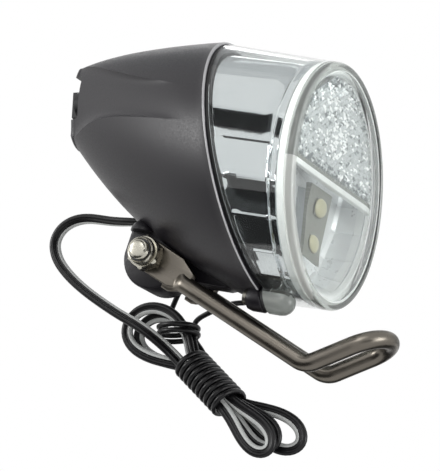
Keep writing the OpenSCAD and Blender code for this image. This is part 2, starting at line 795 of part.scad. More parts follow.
module smoothing_capacitor() {
  color("#2b3550") at_lamp() translate([driver_x - board_t - capacitor_length, 0, driver_h / 2 - capacitor_d / 2 - 0.5])
    rod_x(capacitor_length, capacitor_d);
}

module rectifier() {
  color("#1b1b1c") at_lamp()
    for (side = [-1, 1])
      translate([driver_x - board_t - rectifier_size[0], side * 5 - rectifier_size[1] / 2, -5]) cube(rectifier_size);
}

module lead_terminals() {
  color("#c8b268") at_lamp()
    for (side = [-1, 1])
      translate([driver_x - board_t - terminal_size[0], side * 4 - terminal_size[1] / 2, -driver_h / 2 + 0.5])
        cube(terminal_size);
}

// Switch: rotary knob on a shaft, a bezel round it and the body inside the rear wall
module switch_knob() {
  color("#121214") at_lamp() at_switch() {
    translate([0, 0, notch_floor + bezel_t + knob_gap]) {
      cylinder(h = knob_h / 2, d = knob_d);
      intersection() {
        cylinder(h = knob_h, d = knob_d);
        translate([-knob_d, -grip_w / 2, 0]) cube([2 * knob_d, grip_w, knob_h]);
      }
    }
    translate([0, 0, notch_floor - shaft_depth]) cylinder(h = shaft_depth + bezel_t + knob_gap + knob_h / 4, d = shaft_d);
  }
}

module switch_bezel() {
  color("#1a1a1c") at_lamp() at_switch() translate([0, 0, notch_floor]) difference() {
    cylinder(h = bezel_t, d = knob_d + 2 * bezel_rim);
    translate([0, 0, -1]) cylinder(h = bezel_t + 2, d = shaft_d + 0.4);
  }
}

module switch_body() {
  color("#4a4a4d") at_lamp() at_switch() translate([0, 0, notch_floor - housing_wall - seat_gap]) difference() {
    translate([0, 0, -switch_length]) cylinder(h = switch_length, d = switch_d);
    translate([0, 0, -shaft_depth]) cylinder(h = shaft_depth + 1, d = shaft_d + 2 * running_gap);
  }
}

// Cable gland: a sleeve through the housing's wall, with the lead's first stretch in its bore
module cable_gland() {
  color("#17171a") at_lamp() translate(gland_wall) rotate([0, -90 - gland_dip, 0]) {
    translate([0, 0, -gland_in]) cylinder(h = gland_in + gland_out - 2, d = gland_d);
    translate([0, 0, gland_out - 2]) cylinder(h = 2, d1 = gland_d, d2 = lead_d + 1);
  }
}

// Hank: loops that lie side by side, drawn in at the waist; each stop is along, across
function turned(p, a) = [p[0] * cos(a) - p[1] * sin(a), p[0] * sin(a) + p[1] * cos(a)];
function waist_run(way) = [for (t = waist_stops) [way * t * waist_half, -way * hank_waist]];
function lower_run(k) = [for (p = lower_loop)
  [waist_half, 0] + turned(hank_stretch * lower_size[k] * p, lower_fan[k])];
function upper_run(k) = [for (p = upper_loop)
  let(q = hank_stretch * upper_size[k] * p) [-waist_half - q[0], q[1]]];
hank_stops = concat(
  waist_run(1), lower_run(0), waist_run(-1), upper_run(0),
  waist_run(1), lower_run(1), waist_run(-1), upper_run(1),
  waist_run(1), lower_run(2), [for (i = [0:2]) waist_run(-1)[i]]);
hank_loop = len(lower_loop) + len(upper_loop) + 2 * len(waist_stops);
hank_path = spline([for (i = [0:len(hank_stops) - 1])
  hank_mid + hank_stops[i][0] * hank_along + hank_stops[i][1] * hank_across + [0, hank_layer * i / hank_loop, 0]], 2);
hank_way = unit(hank_path[1] - hank_path[0]);
hank_entry = hank_path[0];
hank_tube = concat([hank_entry - lead_d * hank_way], hank_path);

lead_path = spline(concat(
  [gland_end, gland_end + 1.5 * lead_d * gland_way], [for (p = lead_route) pivot_at + p],
  [hank_entry - 3 * lead_d * hank_way, hank_entry - lead_d * hank_way]), 3);

module lead() {
  color("#161618") at_lamp() tube(lead_path, lead_d, 6, [0, 1, 0]);
}

module lead_hank() {
  color("#1c1c1f") at_lamp() tube(hank_tube, lead_d, 6, [0, 1, 0]);
}

// Tie wire: a helix round the hank's waist
function wind_point(t) = let(a = wind_start + 360 * tie_turns * t)
  wind_mid + mix(-wind_half, wind_half, t) * hank_along
  + wind_v * cos(a) * hank_across + wind_y * sin(a) * [0, 1, 0];
wind_rings = hank_rings * tie_turns;
wind_path = [for (i = [0:wind_rings]) wind_point(i / wind_rings)];
wind_in = unit(wind_path[1] - wind_path[0]);
wind_out = unit(wind_path[wind_rings] - wind_path[wind_rings - 1]);
wind_tube = concat([wind_path[0] - tie_d * wind_in], wind_path, [wind_path[wind_rings] + tie_d * wind_out]);
tie_path = spline(concat(
  [tie_hole, tie_out], [for (p = tie_route) pivot_at + p],
  [wind_path[0] - 2 * tie_d * wind_in, wind_path[0] - tie_d * wind_in]), 3);

// Hanging wire: down behind the upper loops and twice round their right leg
function hitch_point(t) = let(a = 180 + 360 * hitch_turns * t)
  hitch_mid + (0.5 - t) * hitch_turns * wind_pitch * hitch_along
  + (hitch_shift + hitch_v * cos(a)) * hitch_across + hitch_y * sin(a) * [0, 1, 0];
hitch_rings = hank_rings * hitch_turns;
hitch_path = [for (i = [0:hitch_rings]) hitch_point(i / hitch_rings)];
hang_path = concat(
  spline(concat([hang_hole, hang_out], [for (p = hang_route) pivot_at + p], [hitch_path[0]]), 3),
  [for (i = [1:hitch_rings]) hitch_path[i]]);

module tie_wire() {
  color("#141416") at_lamp() tube(tie_path, tie_d, 8, [1, 0, 0.3]);
}

module tie_winding() {
  color("#131315") at_lamp() tube(wind_tube, tie_d, 6, hank_along);
}

module hang_wire() {
  color("#141416") at_lamp() tube(hang_path, tie_d, 8, [1, 0, 0]);
}

echo(hank_gap = self_gap(hank_tube, lead_d, 8), winding_gap = self_gap(wind_tube, tie_d, 8));
echo(lead_length = path_length(lead_path) + path_length(hank_tube));
echo(tie_length = path_length(tie_path) + path_length(wind_tube), hang_length = path_length(hang_path));
echo(hitch_gap = self_gap(hang_path, tie_d, 8));
echo(pivot = pivot, lamp_at = lamp_at, pivot_at = pivot_at);

bracket_wire();
pivot_bolt();
pivot_nut();
nut_insert();
housing();
pivot_block();
block_screws();
front_cap();
cap_seal();
cap_screw();
prism_panel();
reflector();
led_board();
led_emitters();
led_heat_sink();
driver_board();
board_screws();
smoothing_capacitor();
rectifier();
lead_terminals();
switch_knob();
switch_bezel();
switch_body();
cable_gland();
lead();
lead_hank();
tie_wire();
tie_winding();
hang_wire();
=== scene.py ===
"""Bike headlight on a bent wire bracket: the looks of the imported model, in metres, +Z up."""

import json
import logging
import math
from dataclasses import dataclass, field
from enum import Enum
from typing import Callable, Sequence

import bmesh
import bpy
from mathutils import Matrix, Vector


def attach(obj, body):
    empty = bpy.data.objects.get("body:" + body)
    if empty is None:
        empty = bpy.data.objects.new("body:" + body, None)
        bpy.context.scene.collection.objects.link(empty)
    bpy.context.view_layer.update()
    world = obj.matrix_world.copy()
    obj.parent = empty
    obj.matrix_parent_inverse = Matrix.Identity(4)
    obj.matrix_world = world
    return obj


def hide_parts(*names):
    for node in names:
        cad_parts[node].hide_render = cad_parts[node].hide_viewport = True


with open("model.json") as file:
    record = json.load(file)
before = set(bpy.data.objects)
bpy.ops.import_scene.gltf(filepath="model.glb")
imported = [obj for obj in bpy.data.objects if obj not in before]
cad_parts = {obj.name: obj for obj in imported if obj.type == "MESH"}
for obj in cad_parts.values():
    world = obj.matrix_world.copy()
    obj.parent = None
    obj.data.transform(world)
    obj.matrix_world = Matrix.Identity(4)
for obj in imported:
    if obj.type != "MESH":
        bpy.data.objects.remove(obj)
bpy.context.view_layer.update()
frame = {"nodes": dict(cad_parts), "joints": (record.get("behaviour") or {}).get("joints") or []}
LOG = logging.getLogger("headlight")
MM = 0.001

# The lamp's own frame starts at the middle of the lens; the pivot sits below and behind it
PIVOT_AT = Vector((-43.915, 0.0, -25.8157))
PIVOT = Vector(next(j for j in frame["joints"] if j["name"] == "lamp_tilt")["pos_m"])
LAMP = PIVOT - PIVOT_AT * MM
# The bracket is drawn in the frame's own axes, from the middle of its eye
EYE = Vector((0.0, 0.0, 0.0))
AHEAD = Vector((1.0, 0.0, 0.0))
ACROSS = Vector((0.0, 1.0, 0.0))
WHITE = (1.0, 1.0, 1.0, 1.0)
# Slopes of the raked seam and lens: how far each plane goes back for a unit of height
SEAM_LEAN = math.tan(math.radians(22.0))
LENS_RAKE = math.radians(6.5)
LENS_LEAN = math.tan(LENS_RAKE)
# The cap's screw, which the housing's lug and the cap's tab surround
SCREW_AT = Vector((0.0, -8.0, -32.53))
SCREW_R = 3.2

Mesh = bmesh.types.BMesh
Pairs = tuple[tuple[float, float], ...]
Outline = Sequence[tuple[float, float]]
Rings = list[list[Vector]]


class Carrier(Enum):
    """The bodies that the pieces drawn here ride on."""

    BRACKET = "bracket"
    LAMP = "lamp"


class Combine(Enum):
    """Ways to combine two closed meshes."""

    UNION = "UNION"
    CUT = "DIFFERENCE"


def srgb(code: str) -> tuple[float, float, float, float]:
    """Turns an sRGB hex code to linear colour.

    Args:
        code: six hex digits after a hash mark.

    Returns:
        Red, green and blue in linear light, and alpha 1.
    """
    parts = [int(code[i:i + 2], 16) / 255 for i in (1, 3, 5)]
    red, green, blue = (c / 12.92 if c <= 0.04045 else ((c + 0.055) / 1.055) ** 2.4 for c in parts)
    return red, green, blue, 1.0


def add_node(
        tree: bpy.types.NodeTree, kind: str, inputs: dict[str | int, object],
        **settings: object) -> bpy.types.Node:
    """Adds a node with its settings and links.

    Args:
        tree: node tree that gets the node.
        kind: Blender's name of the node type.
        inputs: socket to a plain value, or to the output socket that feeds it.
        settings: properties of the node.

    Returns:
        The new node.
    """
    node = tree.nodes.new(kind)
    for name, value in settings.items():
        setattr(node, name, value)
    for socket, value in inputs.items():
        if isinstance(value, bpy.types.NodeSocket):
            tree.links.new(value, node.inputs[socket])
        else:
            node.inputs[socket].default_value = value
    return node


@dataclass(frozen=True)
class Finish:
    """A surface: its material, how it was made, and the mottle and grain that show it."""

    name: str
    colour: str
    tone: str
    rough: tuple[float, float]
    mottle_mm: float = 7.0
    grain_mm: float = 0.6
    grain: float = 0.0
    metallic: float = 0.0
    ior: float = 1.5
    transmission: float = 0.0
    coat: float = 0.0
    stretch: tuple[float, float, float] = (1.0, 1.0, 1.0)

    def material(self) -> bpy.types.Material:
        """Makes the material at its first use.

        Returns:
            The material, the same one at each later use.
        """
        known = bpy.data.materials.get(self.name)
        if known:
            return known
        made = bpy.data.materials.new(self.name)
        made.use_nodes = True
        tree = made.node_tree
        shader = tree.nodes["Principled BSDF"]
        for socket, value in (
                ("Metallic", self.metallic), ("IOR", self.ior),
                ("Transmission Weight", self.transmission), ("Coat Weight", self.coat)):
            shader.inputs[socket].default_value = value
        place = add_node(tree, "ShaderNodeTexCoord", {})
        turn = add_node(
            tree, "ShaderNodeMapping", {"Vector": place.outputs["Object"], "Scale": self.stretch})
        self.dress(tree, shader, turn.outputs["Vector"])
        return made

    def dress(
            self, tree: bpy.types.NodeTree, shader: bpy.types.Node, place: bpy.types.NodeSocket) -> None:
        """Feeds the shader a slow mottle of colour and gloss and a fine grain.

        Args:
            tree: the material's nodes.
            shader: its shader.
            place: coordinates in metres.
        """
        mottle = add_node(
            tree, "ShaderNodeTexNoise", {"Vector": place, "Scale": 1 / (self.mottle_mm * MM), "Detail": 4.0})
        tone = add_node(
            tree, "ShaderNodeMix", {0: mottle.outputs["Fac"], 6: srgb(self.colour), 7: srgb(self.tone)},
            data_type="RGBA")
        tree.links.new(tone.outputs[2], shader.inputs["Base Color"])
        fine = add_node(
            tree, "ShaderNodeTexNoise", {"Vector": place, "Scale": 1 / (self.grain_mm * MM), "Detail": 3.0})
        gloss = add_node(
            tree, "ShaderNodeMapRange",
            {"Value": fine.outputs["Fac"], "From Min": 0.3, "From Max": 0.7,
             "To Min": self.rough[0], "To Max": self.rough[1]})
        tree.links.new(gloss.outputs["Result"], shader.inputs["Roughness"])
        if self.grain:
            bump = add_node(
                tree, "ShaderNodeBump",
                {"Height": fine.outputs["Fac"], "Strength": self.grain, "Distance": 0.1 * self.grain_mm * MM})
            tree.links.new(bump.outputs["Normal"], shader.inputs["Normal"])


@dataclass(frozen=True)
class TracedBoard(Finish):
    """A circuit board: its mask with a regular net of copper lands under it."""

    land: str = "#c9cbc6"
    land_mm: float = 2.2

    def dress(
            self, tree: bpy.types.NodeTree, shader: bpy.types.Node, place: bpy.types.NodeSocket) -> None:
        """Draws lands in rows, paler than the mask, in place of the mask's mottle of colour; the grain of
        gloss stays.

        Args:
            tree: the material's nodes.
            shader: its shader.
            place: coordinates in metres.
        """
        super().dress(tree, shader, place)
        turned = add_node(
            tree, "ShaderNodeMapping", {"Vector": place, "Rotation": (0.0, math.pi / 2, 0.0)})
        lands = add_node(
            tree, "ShaderNodeTexBrick",
            {"Vector": turned.outputs["Vector"], "Scale": 1 / (self.land_mm * MM), "Mortar Size": 0.06,
             "Color1": srgb(self.colour), "Color2": srgb(self.tone), "Mortar": srgb(self.land)})
        tree.links.new(lands.outputs["Color"], shader.inputs["Base Color"])


# Spark-eroded mould: dark ABS with a fine even grain that breaks up its soft highlights
HOUSING_ABS = Finish(
    "charcoal_abs_spark_moulded", "#1c1a1f", "#171519", (0.34, 0.46), 14.0, 0.45, 0.2, ior=1.43)
# The same plastic with a painted highlight: a thin light grey line painted round the seam, over the rim's
# real rounding
RIM_PAINTED_HIGHLIGHT = Finish("charcoal_abs_painted_rim_highlight", "#a9a9ab", "#98989a", (0.18, 0.26), 6.0, 0.6, 0.0, coat=0.4)
# Glass-filled nylon: near black with a violet cast, slightly patchy gloss from its fibres
LUG_NYLON = Finish("black_glass_filled_nylon", "#141217", "#0f0d12", (0.34, 0.48), 5.0, 0.5, 0.2, ior=1.33)
# Drawn stainless wire: olive-grey metal with faint marks of the die along it
BRACKET_STEEL = Finish(
    "drawn_stainless_wire", "#76716a", "#68635b", (0.27, 0.35), 9.0, 2.0, 0.0, metallic=1.0,
    stretch=(0.35, 1.6, 1.0))
# Zinc plating over steel: bright, with small dull spots
ZINC_STEEL = Finish("zinc_plated_steel", "#c9c6bb", "#a9a69a", (0.16, 0.34), 1.6, 0.4, 0.1, metallic=1.0)
# Screws: plain steel, thinly blackened
SCREW_STEEL = Finish("blackened_screw_steel", "#8f8d86", "#77756e", (0.25, 0.4), 1.5, 0.3, 0.1, metallic=1.0)
# Polyamide ring of the locknut: smooth and waxy
INSERT_NYLON = Finish("dark_polyamide_insert", "#26262a", "#1d1d21", (0.4, 0.55), 2.0, 0.3, 0.1)
# Polished mould: clear acrylic, with nothing to see but its edges and reflections
CLEAR_CAP = Finish(
    "clear_acrylic_polished", "#f6f8f7", "#f0f3f2", (0.005, 0.02), 20.0, 2.0, 0.0, ior=1.45, transmission=1.0)
# The thick ribs behind the lens scatter light, so they read as pale and frosted
FROSTED_RIB = Finish(
    "frosted_acrylic_ribs", "#f7f9f8", "#f0f3f1", (0.3, 0.42), 4.0, 0.8, 0.05, ior=1.3, transmission=0.15)
# Painted shade: grey painted on the bar's upper front, standing in for the dark gap seen through the clear
# plastic above the bar
SLOT_PAINTED_SHADE = Finish("acrylic_painted_slot_shade", "#83867f", "#787b75", (0.2, 0.3), 4.0, 0.5, 0.0)
# Painted shade: the lens's thick clear edge is painted grey, standing in for the darker parts seen through
# it; the screw tab shares this finish
LENS_EDGE_PAINTED_SHADE = Finish(
    "acrylic_edge_painted_shade", "#b4b9b5", "#a6aba7", (0.12, 0.2), 6.0, 1.0, 0.0, ior=1.4, transmission=0.6)
# Painted light: below the bar the near edge is painted paler, standing in for the white rib seen through it
LENS_EDGE_PAINTED_LIGHT = Finish(
    "acrylic_edge_painted_rib_light", "#dfe2df", "#d3d7d3", (0.12, 0.2), 6.0, 1.0, 0.0, ior=1.4, transmission=0.45)
# Prism sheet with a silvered back, with painted glints and painted shade: some facets get a white
# painted-glint copy of the finish and some a grey painted-shade copy, in place of facets that throw light at
# the eye and facets that turn away from it
PRISM_SILVER = Finish(
    "silvered_acrylic_prisms", "#e6eae9", "#b4babb", (0.08, 0.16), 0.8, 0.8, 0.0, metallic=0.55)
PRISM_PAINTED_GLINT = Finish(
    "silvered_prism_painted_glint", "#ffffff", "#f3f5f5", (0.05, 0.1), 0.8, 0.8, 0.0, metallic=0.2)
PRISM_PAINTED_SHADE = Finish(
    "silvered_prism_painted_shade", "#848b8d", "#6c7375", (0.1, 0.2), 0.8, 0.8, 0.0, metallic=0.6)
# Vacuum-metallised ABS: a near mirror, wavy where the moulding sank
CHROME = Finish(
    "vacuum_metallised_abs", "#e4e6e8", "#d9dcdf", (0.03, 0.07), 9.0, 6.0, 0.05, metallic=1.0)
# The bowl behind the window is metallised over a finely textured mould, so it glows evenly
BOWL_SATIN = Finish(
    "satin_metallised_abs", "#eef0f0", "#e2e5e5", (0.26, 0.36), 9.0, 3.0, 0.0, metallic=0.45)
# Moulded rubber: matt, with a faint bloom
SEAL_RUBBER = Finish("black_nitrile_rubber", "#131315", "#0f0f11", (0.55, 0.7), 3.0, 0.3, 0.15)
# Circuit boards: satin mask over paler lands
BOARD_GREY = TracedBoard(
    "grey_solder_mask_on_aluminium", "#72746d", "#686a63", (0.4, 0.5), 4.0, 0.4, 0.05, land="#85877f")
BOARD_GREEN = TracedBoard(
    "green_solder_mask_on_glass_epoxy", "#2f5a3c", "#294f35", (0.3, 0.4), 4.0, 0.4, 0.05, land="#7f9a6a")
# Phosphor in silicone: pale yellow and soft, over a ceramic frame
PHOSPHOR = Finish("yellow_phosphor_silicone", "#bcb899", "#b0ac8c", (0.25, 0.35), 0.8, 0.2, 0.1)
# Painted shade: the white ceramic frame is painted grey for the shade it lies in inside the bowl
CERAMIC_PAINTED_SHADE = Finish("white_ceramic_package_painted_shade", "#a3a49d", "#989992", (0.4, 0.5), 1.0, 0.2, 0.1)
# Inside the housing: sawn metal, shrunk film, cast epoxy and stamped sheet
SINK_ALUMINIUM = Finish("sawn_aluminium", "#a7abad", "#979b9d", (0.3, 0.45), 2.0, 0.5, 0.15, metallic=1.0)
CAPACITOR_SLEEVE = Finish("blue_shrink_sleeve", "#2b3550", "#252e46", (0.25, 0.35), 3.0, 0.5, 0.05)
PACKAGE_EPOXY = Finish("black_epoxy_package", "#1d1d1e", "#161617", (0.45, 0.6), 1.0, 0.2, 0.2)
TERMINAL_BRASS = Finish("stamped_brass", "#c8b268", "#b49d55", (0.2, 0.35), 1.5, 0.4, 0.1, metallic=1.0)
# Switch and gland: fine-grained ABS, phenolic and rubber
KNOB_ABS = Finish("black_abs_fine_grain", "#131316", "#0e0e10", (0.32, 0.46), 3.0, 0.35, 0.2)
SWITCH_GREY = Finish("grey_phenolic_moulding", "#4a4a4d", "#424245", (0.45, 0.6), 3.0, 0.4, 0.15)
GLAND_RUBBER = Finish("black_moulded_rubber", "#1a1a1c", "#141416", (0.5, 0.65), 3.0, 0.4, 0.2)
# Extruded PVC: black and satin, a little greasy; one strand has a printed grey stripe
LEAD_PVC = Finish("black_extruded_pvc", "#121214", "#0d0d0f", (0.28, 0.38), 4.0, 0.8, 0.03, ior=1.38)
STRIPE_PVC = Finish("grey_stripe_on_pvc", "#bcbebd", "#a5a7a6", (0.35, 0.45), 2.0, 0.4, 0.1)
TIE_PVC = Finish("black_pvc_tie_wire", "#101012", "#0c0c0e", (0.3, 0.42), 3.0, 0.5, 0.1, ior=1.38)


NODE_FINISHES: dict[str, Finish] = {
    "nut_insert": INSERT_NYLON,
    "block_screws": SCREW_STEEL,
    "cap_seal": SEAL_RUBBER,
    "cap_screw": SCREW_STEEL,
    "led_board": BOARD_GREY,
    "led_heat_sink": SINK_ALUMINIUM,
    "driver_board": BOARD_GREEN,
    "board_screws": SCREW_STEEL,
    "smoothing_capacitor": CAPACITOR_SLEEVE,
    "rectifier": PACKAGE_EPOXY,
    "lead_terminals": TERMINAL_BRASS,
    "switch_knob": KNOB_ABS,
    "switch_bezel": KNOB_ABS,
    "switch_body": SWITCH_GREY,
}


def mix(a: float, b: float, t: float) -> float:
    """Gives the value a share t of the way from a to b."""
    return a + (b - a) * t


def smooth_path(points: Sequence[Vector], steps: int) -> list[Vector]:
    """Draws a smooth curve through points.

    Args:
        points: the points, in order.
        steps: pieces of curve between two points.

    Returns:
        Points along the curve.
    """
    last = len(points) - 1
    path = []
    for i in range(last):
        a, b, c, d = points[max(i - 1, 0)], points[i], points[i + 1], points[min(i + 2, last)]
        for k in range(steps):
            t = k / steps
            path.append(0.5 * (
                2 * b + (c - a) * t + (2 * a - 5 * b + 4 * c - d) * t ** 2
                + (3 * b - a - 3 * c + d) * t ** 3))
    return path + [points[last].copy()]


def path_length(path: Sequence[Vector]) -> float:
    """Adds up the stretches of a path."""
    return sum((b - a).length for a, b in zip(path, path[1:]))


def relax(path: list[Vector], rounds: int) -> list[Vector]:
    """Eases the tight bends of a path and keeps its ends.

    Args:
        path: points along it.
        rounds: how often each point is drawn towards its neighbours.

    Returns:
        The eased path.
    """
    for _ in range(rounds):
        inner = [(a + 2 * b + c) / 4 for a, b, c in zip(path, path[1:], path[2:])]
        path = path[:1] + inner + path[-1:]
    return path


def sweep(path: Sequence[Vector], side: Vector, section: Callable[[float], Outline]) -> Rings:
    """Carries an outline along a path, square to it and without twist.

    Args:
        path: centreline.
        side: direction of the outline's first axis at the start.
        section: outline at a share of the path's length.

    Returns:
        A ring of points for each point of the path.
    """
    whole, gone = path_length(path), 0.0
    rings = []
    for i, point in enumerate(path):
        gone += (point - path[max(i - 1, 0)]).length
        way = (path[min(i + 1, len(path) - 1)] - path[max(i - 1, 0)]).normalized()
        side = (side - side.dot(way) * way).normalized()
        other = way.cross(side)
        rings.append([point + a * side + b * other for a, b in section(gone / whole)])
    return rings


def circle(radius: float, count: int) -> Outline:
    """Gives a round outline of some points."""
    turns = [math.tau * i / count for i in range(count)]
    return [(radius * math.cos(a), radius * math.sin(a)) for a in turns]


def ring_at(middle: Vector, radius: float, count: int, lean: float = 0.0) -> list[Vector]:
    """Draws a round ring that faces along the lamp.

    Args:
        middle: its middle.
        radius: its radius.
        count: how many points it has.
        lean: slope of its plane, how far it goes back for each unit of height.

    Returns:
        The ring's points.
    """
    return [middle + Vector((-lean * b, a, b)) for a, b in circle(radius, count)]


def mirrored(near: list[Vector]) -> list[Vector]:
    """Closes half a ring, drawn from crown to belly, with its mirror image."""
    return near + [Vector((p.x, -p.y, p.z)) for p in near[-2:0:-1]]


def add_block(
        bm: Mesh, size: Sequence[float],
        middle: Sequence[float] = (0.0, 0.0, 0.0)) -> list[bmesh.types.BMVert]:
    """Adds a plain block to a mesh.

    Args:
        bm: the mesh.
        size: the block's lengths.
        middle: its middle.

    Returns:
        The block's corners.
    """
    corners = bmesh.ops.create_cube(bm, size=1.0)["verts"]
    bmesh.ops.scale(bm, vec=size, verts=corners)
    bmesh.ops.translate(bm, vec=middle, verts=corners)
    return corners


def soften(bm: Mesh, edges: list[bmesh.types.BMEdge], reach: float, steps: int) -> None:
    """Rounds edges off.

    Args:
        bm: mesh that has them.
        edges: the edges.
        reach: how far the rounding goes from each edge.
        steps: faces across the rounding.
    """
    bmesh.ops.bevel(
        bm, geom=edges, offset=reach, offset_type="OFFSET", segments=steps, profile=0.5,
        affect="EDGES", material=-1)


def loft(
        bm: Mesh, rings: Rings, ring_shaped: bool = False) -> list[list[bmesh.types.BMFace]]:
    """Draws a skin through rings by extruding the first one, and closes its ends.

    Args:
        bm: mesh that gets the skin.
        rings: rings with equal counts of points.
        ring_shaped: joins the last ring to the first in place of closing both ends.

    Returns:
        For each step between rings, the faces in the order of the ring's points.
    """
    count = len(rings[0])
    first = bmesh.ops.create_circle(bm, cap_ends=False, segments=count, radius=1.0)["verts"]
    first.sort(key=lambda v: math.atan2(v.co.y, v.co.x))
    for vert, point in zip(first, rings[0]):
        vert.co = point
    last, bands = first, []
    for ring in rings[1:]:
        edges = [bm.edges.get((last[i], last[(i + 1) % count])) for i in range(count)]
        made = bmesh.ops.extrude_edge_only(bm, edges=edges)["geom"]
        fresh = {v for v in made if isinstance(v, bmesh.types.BMVert)}
        following = [
            next(e.other_vert(v) for e in v.link_edges if e.other_vert(v) in fresh) for v in last]
        for vert, point in zip(following, ring):
            vert.co = point
        bands.append([
            next(f for f in e.link_faces if following[i] in f.verts) for i, e in enumerate(edges)])
        last = following
    ends = [
        [bm.edges.get((loop[i], loop[(i + 1) % count])) for i in range(count)] for loop in (first, last)]
    if ring_shaped:
        bmesh.ops.bridge_loops(bm, edges=ends[0] + ends[1])
    else:
        for loop in ends:
            bmesh.ops.edgeloop_fill(bm, edges=loop)
    return bands


def lofted(rings: Rings, ring_shaped: bool = False) -> Mesh:
    """Draws a skin as loft does, on a mesh of its own."""
    bm = bmesh.new()
    loft(bm, rings, ring_shaped)
    return bm


def close_up(bm: Mesh) -> None:
    """Merges doubled points and turns all faces outwards."""
    bmesh.ops.remove_doubles(bm, verts=bm.verts, dist=1e-4)
    bmesh.ops.delete(bm, geom=[e for e in bm.edges if not e.link_faces], context="EDGES")
    bmesh.ops.recalc_face_normals(bm, faces=bm.faces)


def add_object(name: str, bm: Mesh) -> bpy.types.Object:
    """Puts a mesh in the scene as it is.

    Args:
        name: the object's name.
        bm: its mesh; it is used up.

    Returns:
        The new object.
    """
    mesh = bpy.data.meshes.new(name)
    bm.to_mesh(mesh)
    bm.free()
    made = bpy.data.objects.new(name, mesh)
    bpy.context.scene.collection.objects.link(made)
    return made


def combine(base: Mesh, tool: Mesh, how: Combine) -> Mesh:
    """Joins a closed mesh to another, or cuts it out of it.

    Args:
        base: mesh that stays; it is used up.
        tool: mesh that is added or taken away; it is used up.
        how: union or cut.

    Returns:
        The combined mesh.
    """
    held = []
    for name, bm in (("base", base), ("tool", tool)):
        close_up(bm)
        held.append(add_object(name, bm))
    cut = held[0].modifiers.new("combine", "BOOLEAN")
    cut.operation = how.value
    cut.solver = "EXACT"
    cut.object = held[1]
    result = bmesh.new()
    result.from_object(held[0], bpy.context.evaluated_depsgraph_get())
    for piece in held:
        mesh = piece.data
        bpy.data.objects.remove(piece)
        bpy.data.meshes.remove(mesh)
    return result


def place(
        name: str, bm: Mesh, finishes: Sequence[Finish], carrier: Carrier, slot: str,
        stands_for: Sequence[str] = (), origin: Vector = LAMP, sharp: float = 38.0) -> bpy.types.Object:
    """Puts a mesh in the scene as a piece of the object.

    Args:
        name: the piece's name.
        bm: its mesh in millimetres; it is used up.
        finishes: its materials, by face index.
        carrier: the body that it rides on.
        slot: the record's slot for its finish; not used.
        stands_for: the CAD nodes that it replaces.
        origin: where the mesh's own origin lies, in metres.
        sharp: edges that turn by more degrees than this are shaded sharp.

    Returns:
        The new object.
    """
    close_up(bm)
    bm.transform(Matrix.Translation(origin) @ Matrix.Scale(MM, 4))
    piece = add_object(name, bm)
    for finish in finishes:
        piece.data.materials.append(finish.material())
    piece.data.shade_smooth()
    piece.data.set_sharp_from_angle(angle=math.radians(sharp))
    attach(piece, carrier.value)
    if stands_for:
        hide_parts(*stands_for)
    LOG.info("%s: %d faces on %s", name, len(piece.data.polygons), carrier.value)
    return piece


